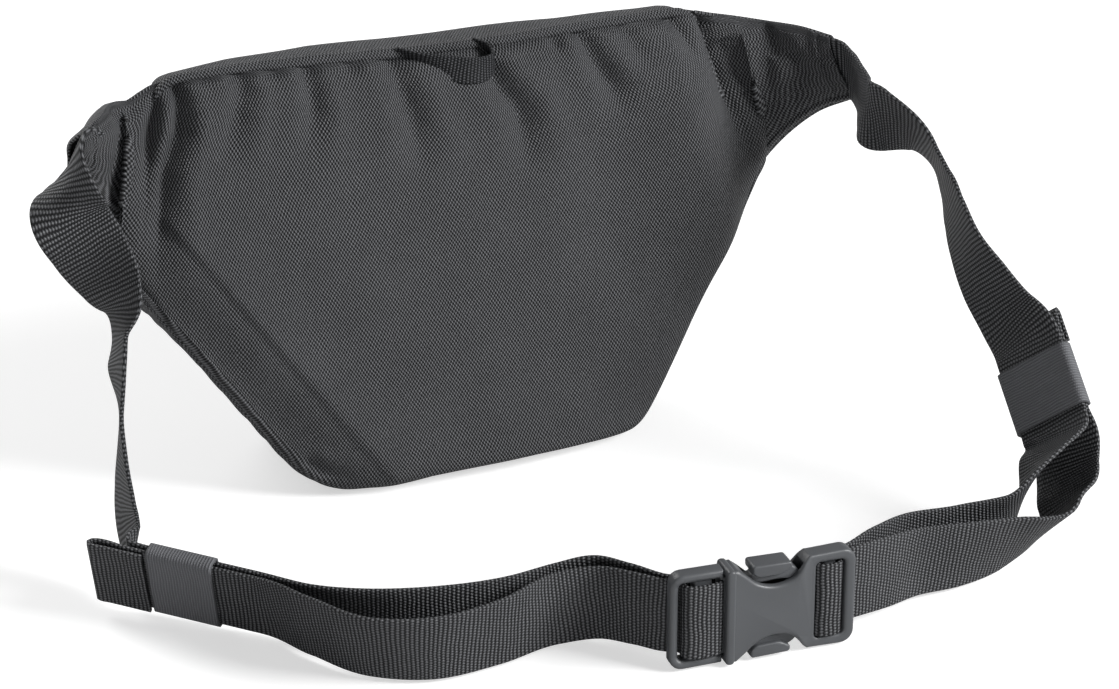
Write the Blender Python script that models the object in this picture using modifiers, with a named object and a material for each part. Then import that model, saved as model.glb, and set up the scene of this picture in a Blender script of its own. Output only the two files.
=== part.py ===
import bpy
import bmesh
from math import atan2, cos, radians, sin, tan, pi
from mathutils import Matrix, Vector

# Waist pack standing on a table with its belt closed in front of the back panel.
# Sizes are millimetres; x runs along the zip, y from the wearer to the bag's front, z up.
MM = 0.001

BASE_MID_Y = 34.0          # the origin lies in the middle of the bottom gusset
LEAN = tan(radians(13.25))  # the bag leans back from the wearer
FABRIC = 1.2
GAP = 0.35

# Bag body
TOP_Z = 138.0
TOP_HALF = 97.0
SHOULDER_X = 111.0
SHOULDER_Z = 78.0
BOTTOM_HALF = 57.0
BODY_DEPTH = 64.0
FRONT_NARROW = 0.10
FRONT_DROP = 0.28
RIM_DEPTH = 4.9
PAD_RISE = 4.0
DOME = 11.0

# Mouth and zip
MOUTH_HALF = 69.0
ZIP_DEPTH = 44.0
TAPE_FROM = 0.9
TAPE_TO = 7.0
TAPE_THICK = 0.8
COIL_WIDTH = 2.1
COIL_HEIGHT = 1.5
SLIDER_LENGTH = 11.0
SLIDER_WIDTH = 7.4
SLIDER_FROM_END = 7.5      # slider's middle to the end of the tape
PULL_LENGTH = 22.0
PULL_AT = 1.7

# Belt
WEB_WIDTH = 25.0
WEB_THICK = 1.4
LAYER_STEP = 2.2
KEEPER_LENGTH = 22.0
KEEPER_WALL = 1.1
HEM_LENGTH = 21.0

# Buckle
BUCKLE_AT = (25.8, -150.0, 16.5)
BUCKLE_YAW = radians(-6.0)
BUCKLE_HALF = 30.0
BUCKLE_HALF_HEIGHT = 16.2
FRAME_THICK = 4.4
BODY_THICK = 9.4
MALE_FACE_X = -11.8
FEMALE_FACE_X = -11.4
PRONG_ROOT_X = -11.3
PRONG_ROOT_Z = 10.0
NOTCH_RADIUS = 10.5
NOTCH_Z = 20.0
NOTCH_X = 4.0

for old in list(bpy.data.objects):
    bpy.data.objects.remove(old, do_unlink=True)

pack = bpy.data.collections.new("waist_pack")
cutters = bpy.data.collections.new("cutters")
bpy.context.scene.collection.children.link(pack)
bpy.context.scene.collection.children.link(cutters)


def material(name, colour, roughness, metallic=0.0):
    mat = bpy.data.materials.new(name)
    mat.use_nodes = True
    shader = mat.node_tree.nodes["Principled BSDF"]
    shader.inputs["Base Color"].default_value = (*colour, 1.0)
    shader.inputs["Roughness"].default_value = roughness
    shader.inputs["Metallic"].default_value = metallic
    return mat


FABRIC_MAT = ((0.045, 0.047, 0.049), 0.85, 0.0)
LINING_MAT = ((0.06, 0.06, 0.065), 0.8, 0.0)
FOAM_MAT = ((0.3, 0.3, 0.3), 0.95, 0.0)
WEB_MAT = ((0.04, 0.043, 0.046), 0.8, 0.0)
ELASTIC_MAT = ((0.06, 0.063, 0.067), 0.75, 0.0)
PLASTIC_MAT = ((0.05, 0.053, 0.056), 0.45, 0.0)
COIL_MAT = ((0.03, 0.03, 0.032), 0.5, 0.0)
METAL_MAT = ((0.12, 0.12, 0.125), 0.35, 0.9)


def point(x, y, z):
    return Vector((x, y - BASE_MID_Y, z)) * MM


def add(name, mesh, look, collection=pack):
    obj = bpy.data.objects.new(name, mesh)
    collection.objects.link(obj)
    if look:
        mesh.materials.append(material(name + "_look", *look))
    return obj


def from_bmesh(name, bm, look, collection=pack):
    mesh = bpy.data.meshes.new(name)
    bm.to_mesh(mesh)
    bm.free()
    return add(name, mesh, look, collection)


def solidify(obj, thickness, offset):
    mod = obj.modifiers.new("thickness", "SOLIDIFY")
    mod.thickness = thickness * MM
    mod.offset = offset
    mod.use_even_offset = True
    mod.use_rim = True
    return obj


def rounded(corners, tangents, steps):
    """Corner points of a closed outline, each turned into an arc with the given tangent length."""
    points = []
    count = len(corners)
    for i in range(count):
        here = Vector(corners[i])
        before = (Vector(corners[i - 1]) - here).normalized()
        after = (Vector(corners[(i + 1) % count]) - here).normalized()
        length = tangents[i]
        if length == 0:
            points.append((here.x, here.y))
            continue
        half = before.angle(after) / 2
        radius = length * tan(half)
        centre = here + (before + after).normalized() * (radius / sin(half))
        start = here + before * length - centre
        end = here + after * length - centre
        first = atan2(start.y, start.x)
        turn = (atan2(end.y, end.x) - first + pi) % (2 * pi) - pi
        for k in range(steps + 1):
            a = first + turn * k / steps
            points.append((centre.x + radius * cos(a), centre.y + radius * sin(a)))
    return points


def inset_corners(corners, insets):
    """Moves every side of a convex outline inwards; side i runs from corner i to corner i + 1."""
    lines = []
    count = len(corners)
    for i in range(count):
        a = Vector(corners[i])
        b = Vector(corners[(i + 1) % count])
        along = (b - a).normalized()
        inward = Vector((-along.y, along.x))
        lines.append((a + inward * insets[i], along))
    moved = []
    for i in range(count):
        p, d = lines[i - 1]
        q, e = lines[i]
        cross = d.x * e.y - d.y * e.x
        t = ((q.x - p.x) * e.y - (q.y - p.y) * e.x) / cross
        moved.append((p.x + d.x * t, p.y + d.y * t))
    return moved


BODY_CORNERS = [
    (-BOTTOM_HALF, 0.0), (BOTTOM_HALF, 0.0), (SHOULDER_X, SHOULDER_Z),
    (TOP_HALF, TOP_Z), (-TOP_HALF, TOP_Z), (-SHOULDER_X, SHOULDER_Z),
]
CORNER_TANGENTS = [11.7, 11.7, 10.0, 8.7, 8.7, 10.0]
CORNER_STEPS = 5


def narrowed(x, z, d):
    share = (max(d, 0.0) / BODY_DEPTH) ** 2
    return x * (1 - FRONT_NARROW * share), z * (1 - FRONT_DROP * share)


def body_point(x, z, d):
    nx, nz = narrowed(x, z, d)
    return point(nx, d + nz * LEAN, nz)


def body_ring(insets, d, outline_depth=None):
    depth = d if outline_depth is None else outline_depth
    corners = inset_corners(BODY_CORNERS, insets)
    small = max(insets)
    tangents = [max(t - small * 0.5, 4.0) for t in CORNER_TANGENTS]
    ring = []
    for x, z in rounded(corners, tangents, CORNER_STEPS):
        nx, nz = narrowed(x, z, depth)
        ring.append(point(nx, d + nz * LEAN, nz))
    return ring


def sheet(name, rows, closed, look, offset, cap=False, thickness=FABRIC):
    """Loft through rows of points; the fabric's thickness is added by Solidify."""
    bm = bmesh.new()
    grid = [[bm.verts.new(p) for p in row] for row in rows]
    for low, high in zip(grid, grid[1:]):
        count = len(low)
        for i in range(count if closed else count - 1):
            j = (i + 1) % count
            bm.faces.new((low[i], low[j], high[j], high[i]))
    if cap:
        bm.faces.new(grid[-1])
    return solidify(from_bmesh(name, bm, look), thickness, offset)


def loft(name, rings, look):
    """Closed solid through rings of points, with both ends capped."""
    bm = bmesh.new()
    grid = [[bm.verts.new(p) for p in ring] for ring in rings]
    for low, high in zip(grid, grid[1:]):
        count = len(low)
        for i in range(count):
            j = (i + 1) % count
            bm.faces.new((low[i], low[j], high[j], high[i]))
    bm.faces.new(list(reversed(grid[0])))
    bm.faces.new(grid[-1])
    bmesh.ops.recalc_face_normals(bm, faces=bm.faces)
    return from_bmesh(name, bm, look)


def box(name, centre, size, look, matrix=None, bevel=0.0, segments=2, collection=pack):
    bm = bmesh.new()
    bmesh.ops.create_cube(bm, size=1.0)
    bmesh.ops.scale(bm, vec=Vector(size) * MM, verts=bm.verts)
    bmesh.ops.translate(bm, vec=Vector(centre) * MM, verts=bm.verts)
    if bevel:
        bmesh.ops.bevel(bm, geom=bm.edges, offset=bevel * MM, segments=segments, affect="EDGES", profile=0.5)
    obj = from_bmesh(name, bm, look, collection)
    if matrix:
        obj.matrix_world = matrix
    return obj


def plate(name, loops, half_thickness, look, bevel=0.0, collection=pack):
    """Flat plate from 2D loops in the local x-z plane, thickness along local y."""
    curve = bpy.data.curves.new(name + "_outline", "CURVE")
    curve.dimensions = "2D"
    curve.fill_mode = "BOTH"
    curve.extrude = (half_thickness - bevel) * MM
    curve.bevel_depth = bevel * MM
    curve.bevel_resolution = 1
    curve.offset = -bevel * MM
    for loop in loops:
        spline = curve.splines.new("POLY")
        spline.points.add(len(loop) - 1)
        spline.use_cyclic_u = True
        for p, (x, z) in zip(spline.points, loop):
            p.co = (x * MM, z * MM, 0.0, 1.0)
    holder = bpy.data.objects.new(name + "_holder", curve)
    cutters.objects.link(holder)
    mesh = bpy.data.meshes.new_from_object(holder.evaluated_get(bpy.context.evaluated_depsgraph_get()))
    bpy.data.objects.remove(holder, do_unlink=True)
    mesh.transform(Matrix.Rotation(pi / 2, 4, "X"))
    bm = bmesh.new()
    bm.from_mesh(mesh)
    bmesh.ops.remove_doubles(bm, verts=bm.verts, dist=1e-6)
    bmesh.ops.recalc_face_normals(bm, faces=bm.faces)
    return from_bmesh(name, bm, look, collection)


def cut(obj, tool, operation="DIFFERENCE"):
    tool.hide_render = True
    tool.display_type = "WIRE"
    mod = obj.modifiers.new("cut_" + tool.name, "BOOLEAN")
    mod.operation = operation
    mod.solver = "EXACT"
    mod.object = tool
    return obj


def baked(obj):
    """Applies the modifiers so the tools need not stay."""
    graph = bpy.context.evaluated_depsgraph_get()
    graph.update()
    mesh = bpy.data.meshes.new_from_object(obj.evaluated_get(graph))
    obj.modifiers.clear()
    obj.data = mesh
    return obj


# Bag: back panel, foam and lining
NO_INSET = [0.0] * 6
SLOPE_INSET = [7.0, 9.0, 5.0, 4.0, 5.0, 9.0]
PAD_INSET = [13.0, 20.0, 10.0, 8.0, 10.0, 20.0]
sheet("back_panel", [
    body_ring(NO_INSET, RIM_DEPTH, 0.0),
    body_ring(NO_INSET, 0.6, 0.0),
    body_ring(SLOPE_INSET, -PAD_RISE * 0.62, 0.0),
    body_ring(PAD_INSET, -PAD_RISE, 0.0),
], True, FABRIC_MAT, -1.0, cap=True)

FOAM_INSET = [2.6, 3.0, 2.6, 2.6, 2.6, 3.0]
loft("back_foam", [
    body_ring(FOAM_INSET, RIM_DEPTH - 1.4, 0.0),
    body_ring(FOAM_INSET, 2.2, 0.0),
    body_ring([a + 2.5 for a in SLOPE_INSET], -PAD_RISE * 0.62 + 1.9, 0.0),
    body_ring([a + 2.5 for a in PAD_INSET], -PAD_RISE + 1.7, 0.0),
], FOAM_MAT)

LINING_INSET = [1.6] * 6
loft("back_lining", [
    body_ring(LINING_INSET, RIM_DEPTH - 0.95, 0.0),
    body_ring(LINING_INSET, RIM_DEPTH - 0.1, 0.0),
], LINING_MAT)

# Bag: gussets between the back and front panels
outline = rounded(BODY_CORNERS, CORNER_TANGENTS, CORNER_STEPS)
arc = CORNER_STEPS + 1
right_side = outline[arc:4 * arc]
left_side = outline[4 * arc:6 * arc] + outline[0:arc]
DEPTH_SHARES = (0.3125, 0.53, 0.72, 0.875)
DEPTH_ROWS = [RIM_DEPTH + GAP] + [BODY_DEPTH * share for share in DEPTH_SHARES] + [BODY_DEPTH - GAP]


def gusset(name, profile):
    rows = []
    for d in DEPTH_ROWS:
        rows.append([body_point(x, z, d) for x, z in profile])
    return sheet(name, rows, False, FABRIC_MAT, 1.0)


bottom_edge = BOTTOM_HALF - CORNER_TANGENTS[0] - GAP
gusset("bottom_gusset", [(bottom_edge * k, 0.0) for k in (-1.0, -0.5, 0.0, 0.5, 1.0)])
gusset("right_gusset", right_side)
gusset("left_gusset", left_side)

# Bag: front panel
FRONT_FROM = BODY_DEPTH + GAP
sheet("front_panel", [
    body_ring(NO_INSET, FRONT_FROM, BODY_DEPTH),
    body_ring(NO_INSET, FRONT_FROM + 1.6, BODY_DEPTH),
    body_ring([7.0] * 6, FRONT_FROM + DOME * 0.55, BODY_DEPTH),
    body_ring([18.0] * 6, FRONT_FROM + DOME * 0.88, BODY_DEPTH),
    body_ring([32.0] * 6, FRONT_FROM + DOME, BODY_DEPTH),
], True, FABRIC_MAT, 1.0, cap=True)

# Mouth: frame of the zip, first axis along x, second down towards the front, third outwards
ZIP_Y = body_point(0.0, TOP_Z, ZIP_DEPTH).y / MM
ZIP_Z = body_point(0.0, TOP_Z, ZIP_DEPTH).z / MM
ahead = body_point(0.0, TOP_Z, ZIP_DEPTH + 1.0)
behind = body_point(0.0, TOP_Z, ZIP_DEPTH - 1.0)
zip_down = (ahead - behind).normalized()
zip_out = Vector((1.0, 0.0, 0.0)).cross(zip_down)
zip_frame = Matrix((
    (1.0, zip_down.x, zip_out.x, 0.0),
    (0.0, zip_down.y, zip_out.y, ZIP_Y * MM),
    (0.0, zip_down.z, zip_out.z, ZIP_Z * MM),
    (0.0, 0.0, 0.0, 1.0),
))


def zip_point(x, down, out):
    return zip_frame @ (Vector((x, down, out)) * MM)


TOP_STRAIGHT = TOP_HALF - CORNER_TANGENTS[3] - GAP


def outer_x(d):
    return narrowed(TOP_STRAIGHT, 0.0, d)[0]


def top_row(d, x_from, x_to):
    nz = narrowed(0.0, TOP_Z, d)[1]
    xs = [x_from + (x_to - x_from) * k / 6 for k in range(7)]
    return [point(x, d + nz * LEAN, nz) for x in xs]


STRIP_END = ZIP_DEPTH - TAPE_TO - GAP
LIP_START = ZIP_DEPTH + TAPE_TO + 0.6


def rows_between(start, end):
    return [start + (end - start) * k / 3 for k in range(4)]


sheet("rear_top_strip", [top_row(d, outer_x(d), -outer_x(d)) for d in rows_between(RIM_DEPTH + GAP, STRIP_END - 0.4)],
      False, FABRIC_MAT, 1.0)
sheet("mouth_lip", [top_row(d, MOUTH_HALF, -MOUTH_HALF) for d in rows_between(LIP_START, BODY_DEPTH - 0.25)],
      False, FABRIC_MAT, 1.0)

for side, sign in (("left", -1.0), ("right", 1.0)):
    inner = MOUTH_HALF + 0.6

    def ends(d):
        return (outer_x(d), inner) if sign > 0 else (-inner, -outer_x(d))

    rows = []
    for down in (TAPE_FROM, TAPE_TO):
        near, far = ends(ZIP_DEPTH + down)
        rows.append([zip_point(near + (far - near) * k / 6, down, -TAPE_THICK / 2) for k in range(7)])
    rows += [top_row(d, *ends(d)) for d in rows_between(ZIP_DEPTH + TAPE_TO, BODY_DEPTH - GAP)[1:]]
    sheet(side + "_end_panel", rows, False, FABRIC_MAT, 1.0)

TAPE_HALF = outer_x(ZIP_DEPTH) - 0.3


def tape(name, half, sign):
    middle = sign * (TAPE_FROM + TAPE_TO) / 2
    return box(name, (0.0, middle, 0.0), (2 * half, TAPE_TO - TAPE_FROM, TAPE_THICK), FABRIC_MAT, zip_frame)


def coil(name, half, sign):
    middle = sign * (TAPE_FROM + COIL_WIDTH / 2)
    height = TAPE_THICK / 2 + GAP + COIL_HEIGHT / 2
    return box(name, (0.0, middle, height), (2 * half, COIL_WIDTH, COIL_HEIGHT), COIL_MAT, zip_frame,
               bevel=0.5, segments=2)


tape("zip_tape_rear", TAPE_HALF, -1.0)
coil("zip_coil_rear", TAPE_HALF - 3.5, -1.0)
tape("zip_tape_front", MOUTH_HALF, 1.0)
coil("zip_coil_front", MOUTH_HALF, 1.0)
for side, sign in (("left", -1.0), ("right", 1.0)):
    box(side + "_zip_stop", (sign * (TAPE_HALF - 0.9), -TAPE_FROM - 1.6, 1.55), (1.6, 3.0, 1.6),
        METAL_MAT, zip_frame, bevel=0.3)

# Zip slider: two plates joined by a post that runs in the slit between the coils
slider_frame = zip_frame @ Matrix.Translation(Vector((TAPE_HALF - SLIDER_FROM_END, 0.0, 0.0)) * MM)
plate_out = TAPE_THICK / 2 + GAP + COIL_HEIGHT + GAP
slider = box("zip_slider", (0.0, 0.0, plate_out + 0.55), (SLIDER_LENGTH, SLIDER_WIDTH, 1.1), METAL_MAT,
             bevel=0.4)
post = box("slider_post", (SLIDER_LENGTH / 2 - 2.2, 0.0, 0.3), (2.6, 0.9, 5.6), None, collection=cutters)
under = box("slider_under", (0.0, 0.0, -TAPE_THICK / 2 - FABRIC - 1.0), (SLIDER_LENGTH - 1.0, SLIDER_WIDTH - 1.0, 1.2),
            None, bevel=0.4, collection=cutters)
bridge = plate("slider_bridge", [
    rounded([(-4.0, 0.0), (4.0, 0.0), (4.0, 3.0), (-4.0, 3.0)], [0.0, 0.0, 1.4, 1.4], 3),
    rounded([(-2.6, 0.8), (-2.6, 2.1), (2.6, 2.1), (2.6, 0.8)], [0.0, 0.8, 0.8, 0.0], 3),
], 0.8, None, collection=cutters)
bridge.data.transform(Matrix.Translation(Vector((0.0, 0.0, plate_out + 0.7)) * MM))
for tool in (post, under, bridge):
    cut(slider, tool, "UNION")
baked(slider)
for tool in (post, under, bridge):
    bpy.data.objects.remove(tool, do_unlink=True)
slider.matrix_world = slider_frame

# Pull tab: the bar of its ring goes under the bridge and is the hinge axis; the tab lies away from the mouth
pull_height = plate_out + 0.7 + 1.45
pull = plate("zip_pull", [
    rounded([(-0.45, -2.6), (6.0, -3.6), (PULL_LENGTH, -3.6), (PULL_LENGTH, 3.6), (6.0, 3.6), (-0.45, 2.6)],
            [0.4, 1.5, 2.4, 2.4, 1.5, 0.4], 3),
    rounded([(0.45, -1.3), (0.45, 1.3), (6.2, 1.5), (6.2, -1.5)], [0.3, 0.3, 0.9, 0.9], 2),
], 0.4, METAL_MAT)
pull.data.transform(Matrix.Rotation(-pi / 2, 4, "X"))
pull.matrix_world = slider_frame @ Matrix.Translation(Vector((PULL_AT, 0.0, pull_height)) * MM)

# Wings: stuffed ends of the bag that carry the webbing
def wing(name, stations):
    rings = []
    for centre, up, half_height, half_thick in stations:
        c = Vector(centre)
        up = Vector(up).normalized()
        through = Vector((0.0, 1.0, 0.0))
        through = (through - up * through.dot(up)).normalized()
        if len(rings) == len(stations) - 1:
            through = Vector(stations[-1][1]).cross(Vector(stations[-1][0]) - Vector(stations[-2][0])).normalized()
            if through.y < 0:
                through = -through
        ring = []
        for a, b in rounded([(-1.0, -1.0), (1.0, -1.0), (1.0, 1.0), (-1.0, 1.0)], [0.55] * 4, 2):
            p = c + up * (b * half_height) + through * (a * half_thick)
            ring.append(point(*p))
        rings.append(ring)
    return loft(name, rings, FABRIC_MAT)


wing_slant = (SHOULDER_X - TOP_HALF) / (TOP_Z - SHOULDER_Z)
root_z = 106.0
root_x = SHOULDER_X - wing_slant * (root_z - SHOULDER_Z) + 0.75
wing("right_wing", [
    ((root_x, 12.5 + root_z * LEAN, root_z), (-wing_slant, LEAN, 1.0), 28.5, 11.5),
    ((114.5, 34.0, 108.5), (-0.10, 0.2, 1.0), 24.5, 9.5),
    ((127.0, 25.0, 113.4), (-0.12, 0.2, 1.0), 18.5, 5.5),
    ((139.6, 14.6, 117.8), (-0.30, -0.10, 0.95), 14.0, 2.2),
])
wing("left_wing", [
    ((-root_x, 12.5 + root_z * LEAN, root_z), (wing_slant, LEAN, 1.0), 28.5, 11.5),
    ((-113.0, 34.0, 112.0), (0.10, 0.15, 1.0), 26.0, 9.5),
    ((-122.5, 26.0, 121.5), (0.14, -0.25, 1.0), 19.0, 6.0),
    ((-131.2, 16.6, 129.0), (0.04, -0.62, 0.78), 13.4, 2.6),
])


# Webbing
def smooth(stations, per_span):
    """Centripetal-looking spline through hand-set stations of position and width direction."""
    centres = [Vector(s[0]) for s in stations]
    widths = [Vector(s[1]).normalized() for s in stations]
    rows = []
    last = len(stations) - 1

    def blend(values, i, t):
        a = values[max(i - 1, 0)]
        b = values[i]
        c = values[min(i + 1, last)]
        d = values[min(i + 2, last)]
        # tangents weighted by span length keep the curve from overshooting
        ab = max((centres[i] - centres[max(i - 1, 0)]).length, 1e-6)
        bc = max((centres[min(i + 1, last)] - centres[i]).length, 1e-6)
        cd = max((centres[min(i + 2, last)] - centres[min(i + 1, last)]).length, 1e-6)
        m0 = ((c - b) / bc * ab + (b - a) / ab * bc) / (ab + bc) * bc if i > 0 else c - b
        m1 = ((d - c) / cd * bc + (c - b) / bc * cd) / (bc + cd) * bc if i + 2 <= last else c - b
        return (b * (2 * t ** 3 - 3 * t ** 2 + 1) + m0 * (t ** 3 - 2 * t ** 2 + t)
                + c * (3 * t ** 2 - 2 * t ** 3) + m1 * (t ** 3 - t ** 2))

    for i in range(last):
        span = (centres[i + 1] - centres[i]).length
        count = max(2, min(per_span, round(span / 5.0)))
        for k in range(count):
            rows.append((blend(centres, i, k / count), blend(widths, i, k / count)))
    rows.append((centres[-1], widths[-1]))
    return rows


def ribbon(name, stations, width, thickness, look, per_span=6):
    rows = smooth(stations, per_span)
    bm = bmesh.new()
    edges = []
    for i, (centre, across) in enumerate(rows):
        ahead_at = rows[min(i + 1, len(rows) - 1)][0]
        behind_at = rows[max(i - 1, 0)][0]
        along = (ahead_at - behind_at).normalized()
        across = (across - along * across.dot(along)).normalized()
        edges.append([bm.verts.new(point(*(centre + across * (width * s)))) for s in (-0.5, 0.0, 0.5)])
    for low, high in zip(edges, edges[1:]):
        for i in range(2):
            bm.faces.new((low[i], low[i + 1], high[i + 1], high[i]))
    return solidify(from_bmesh(name, bm, look), thickness, 0.0)


buckle_turn = Matrix.Rotation(BUCKLE_YAW, 3, "Z")


def at_buckle(x, y, z=0.0):
    return Vector(BUCKLE_AT) + buckle_turn @ Vector((x, y, z))


UP = (0.0, 0.0, 1.0)

# Keeper frames: middle, direction of the belt towards the buckle, direction across the belt
left_mid = Vector((-127.0, -61.2, 15.3))
left_along = Vector((0.705, -0.706, -0.06)).normalized()
left_across = Vector((-0.12, -0.30, 0.94))
left_across = (left_across - left_along * left_across.dot(left_along)).normalized()
left_in = left_across.cross(left_along).normalized()
if left_in.y < 0:
    left_in = -left_in

right_mid = Vector((155.3, -102.5, 42.5))
right_along = Vector((-0.10, -0.78, -0.62)).normalized()
right_across = Vector((0.56, -0.64, 0.52))
right_across = (right_across - right_along * right_across.dot(right_along)).normalized()
right_in = right_along.cross(right_across).normalized()

HALF_STEP = LAYER_STEP / 2


def left_belt(along, layer):
    return left_mid + left_along * along + left_in * (layer * HALF_STEP)


def right_belt(along, layer):
    return right_mid + right_along * along + right_in * (layer * HALF_STEP)


def round_bar(sign):
    """Way of the webbing over the crossbar, from the inner layer to the outer one, in buckle coordinates."""
    way = [(26.0, 5.6), (20.2, 5.5), (18.5, 4.4), (18.1, 2.4), (18.1, -1.6), (19.0, -3.0),
           (20.6, -3.3), (23.4, -3.3), (25.0, -2.9), (25.5, -1.4), (25.5, 1.2), (26.2, 2.9), (28.0, 3.4)]
    return [(at_buckle(sign * x, y), UP) for x, y in way]


def hem(belt, turn_at, layer, length, across):
    """The tail's end, folded back on the outer side."""
    radius = 1.4
    stations = [(belt(turn_at, layer), across)]
    for k in (1, 2, 3):
        a = k * pi / 4
        stations.append((belt(turn_at - radius * sin(a), layer - radius * (1 - cos(a)) / HALF_STEP), across))
    outer = layer - 2 * radius / HALF_STEP
    stations.append((belt(turn_at, outer), across))
    stations.append((belt(turn_at + length, outer), across))
    return stations


left_route = [
    ((-132.0, 14.6, 129.2), (0.04, -0.62, 0.78)),
    ((-136.0, 9.0, 124.0), (0.45, -0.65, 0.60)),
    ((-137.4, 4.5, 115.6), (0.90, -0.40, 0.13)),
    ((-133.0, 0.0, 105.6), (0.86, -0.46, 0.26)),
    ((-127.8, -5.6, 94.0), (0.56, -0.74, 0.40)),
    ((-126.0, -9.0, 87.4), (0.22, -0.91, 0.44)),
    ((-128.0, -12.0, 79.6), (-0.11, -0.92, 0.42)),
    ((-130.9, -16.2, 71.6), (-0.08, -0.92, 0.42)),
    ((-132.0, -21.0, 57.4), (-0.27, -0.88, 0.42)),
    ((-133.4, -24.6, 46.6), (-0.20, -0.88, 0.45)),
    ((-134.6, -28.0, 35.0), (-0.08, -0.90, 0.49)),
    ((-135.4, -32.0, 25.6), (0.0, -0.86, 0.56)),
    ((-136.2, -38.6, 18.8), (-0.03, -0.66, 0.76)),
    (left_belt(-18.0, 1.5), left_across),
    (left_belt(-12.0, 1.0), left_across),
    (left_belt(0.0, 1.0), left_across),
    (left_belt(12.0, 1.0), left_across),
    (left_belt(25.0, 1.0), left_across),
    ((-98.0, -90.6, 13.4), (-0.08, -0.30, 0.95)),
    ((-83.6, -102.0, 12.8), (-0.04, -0.16, 1.0)),
    ((-64.4, -112.0, 13.0), UP),
    ((-44.0, -116.0, 13.4), UP),
    ((-27.0, -116.4, 14.4), UP),
    ((-15.5, -120.5, 16.4), UP),
    ((-8.6, -130.4, 17.0), UP),
] + round_bar(-1.0) + [
    ((-9.8, -135.6, 16.8), UP),
    ((-17.0, -126.6, 16.0), UP),
    ((-29.0, -121.8, 14.4), UP),
    ((-50.0, -125.6, 13.2), (-0.02, -0.16, 1.0)),
    ((-72.0, -126.0, 13.0), (-0.03, -0.24, 1.0)),
    ((-89.0, -117.0, 13.0), (-0.08, -0.30, 0.95)),
    ((-100.8, -98.0, 13.5), (-0.10, -0.32, 0.94)),
    (left_belt(25.0, -1.0), left_across),
    (left_belt(0.0, -1.0), left_across),
    (left_belt(-18.0, -1.0), left_across),
] + hem(left_belt, -33.0, -1.0, HEM_LENGTH, left_across)
ribbon("left_webbing", left_route, WEB_WIDTH, WEB_THICK, WEB_MAT)

right_route = [
    ((141.3, 13.1, 118.2), (-0.30, -0.10, 0.95)),
    ((143.3, 11.3, 118.5), (-0.30, -0.12, 0.95)),
    ((144.6, 5.6, 116.6), (-0.24, -0.17, 0.95)),
    ((141.4, -3.4, 112.8), (-0.12, -0.24, 0.95)),
    ((137.8, -12.4, 111.0), (0.0, -0.31, 0.93)),
    ((139.0, -22.5, 111.8), (-0.06, -0.44, 0.86)),
    ((144.0, -32.0, 109.6), (-0.26, -0.64, 0.70)),
    ((148.6, -39.6, 102.6), (-0.40, -0.72, 0.56)),
    ((149.2, -46.0, 95.6), (-0.34, -0.79, 0.50)),
    ((147.9, -54.0, 88.4), (-0.22, -0.84, 0.44)),
    ((147.4, -62.0, 80.6), (-0.08, -0.82, 0.52)),
    ((150.0, -71.0, 70.4), (0.16, -0.72, 0.62)),
    ((154.4, -80.0, 59.8), (0.36, -0.65, 0.61)),
    (right_belt(-17.0, 1.0), right_across),
    (right_belt(-12.0, 1.0), right_across),
    (right_belt(12.5, 1.0), right_across),
    (right_belt(16.5, 1.6), right_across),
    ((144.0, -122.0, 30.6), (0.14, -0.78, 0.55)),
    ((134.6, -128.4, 24.4), (-0.20, -0.66, 0.72)),
    ((122.6, -133.5, 16.6), (-0.06, -0.30, 0.95)),
    ((105.0, -134.0, 13.6), UP),
    ((87.0, -133.0, 14.2), UP),
    ((71.0, -139.5, 16.0), UP),
] + round_bar(1.0) + [
    ((74.0, -146.0, 15.6), UP),
    ((86.0, -142.6, 14.2), (0.0, -0.08, 1.0)),
    ((103.0, -142.8, 13.2), (0.0, -0.18, 1.0)),
    ((119.0, -142.2, 13.0), (-0.08, -0.38, 0.90)),
    ((131.0, -141.0, 13.4), (-0.20, -0.64, 0.72)),
    ((140.5, -138.6, 15.8), (-0.36, -0.80, 0.46)),
    ((146.5, -132.6, 19.2), (0.12, -0.87, 0.46)),
    ((151.8, -124.6, 22.4), (0.36, -0.80, 0.46)),
    (right_belt(18.5, -2.3), right_across),
    (right_belt(12.5, -1.0), right_across),
    (right_belt(0.0, -1.0), right_across),
    (right_belt(-12.0, -1.0), right_across),
] + hem(right_belt, -24.0, -2.2, HEM_LENGTH * 0.5, right_across)
ribbon("right_webbing", right_route, WEB_WIDTH, WEB_THICK, WEB_MAT)

hang_loop = [
    ((-13.8, 30.6, 141.0), (0.05, 0.10, 1.0)),
    ((-9.0, 26.6, 139.2), (0.0, -0.10, 1.0)),
    ((-1.5, 21.6, 135.0), (0.05, -0.22, 1.0)),
    ((6.5, 19.6, 132.6), (0.0, -0.28, 1.0)),
    ((13.5, 20.6, 133.4), (-0.25, -0.20, 1.0)),
    ((17.6, 24.0, 137.0), (-0.60, -0.05, 0.9)),
    ((18.8, 31.6, 141.4), (-0.65, 0.10, 0.8)),
]
ribbon("hang_loop", hang_loop, 9.0, 1.0, WEB_MAT)


def keeper(name, middle, along, across, inward):
    inner_w = WEB_WIDTH / 2 + 0.4
    inner_t = (LAYER_STEP + WEB_THICK) / 2 + 0.35
    outer_w = inner_w + KEEPER_WALL
    outer_t = inner_t + KEEPER_WALL
    # plate loops lie in local x (through the belt) and z (across the belt), thickness along the belt
    obj = plate(name, [
        rounded([(-outer_t, -outer_w), (outer_t, -outer_w), (outer_t, outer_w), (-outer_t, outer_w)], [1.6] * 4, 3),
        rounded([(-inner_t, -inner_w), (inner_t, -inner_w), (inner_t, inner_w), (-inner_t, inner_w)], [0.5] * 4, 2),
    ], KEEPER_LENGTH / 2, ELASTIC_MAT)
    turn = Matrix((inward, along, across)).transposed()
    if turn.determinant() < 0:
        turn = Matrix((-inward, along, across)).transposed()
    obj.matrix_world = Matrix.Translation(point(*middle)) @ turn.to_4x4()
    return obj


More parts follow.
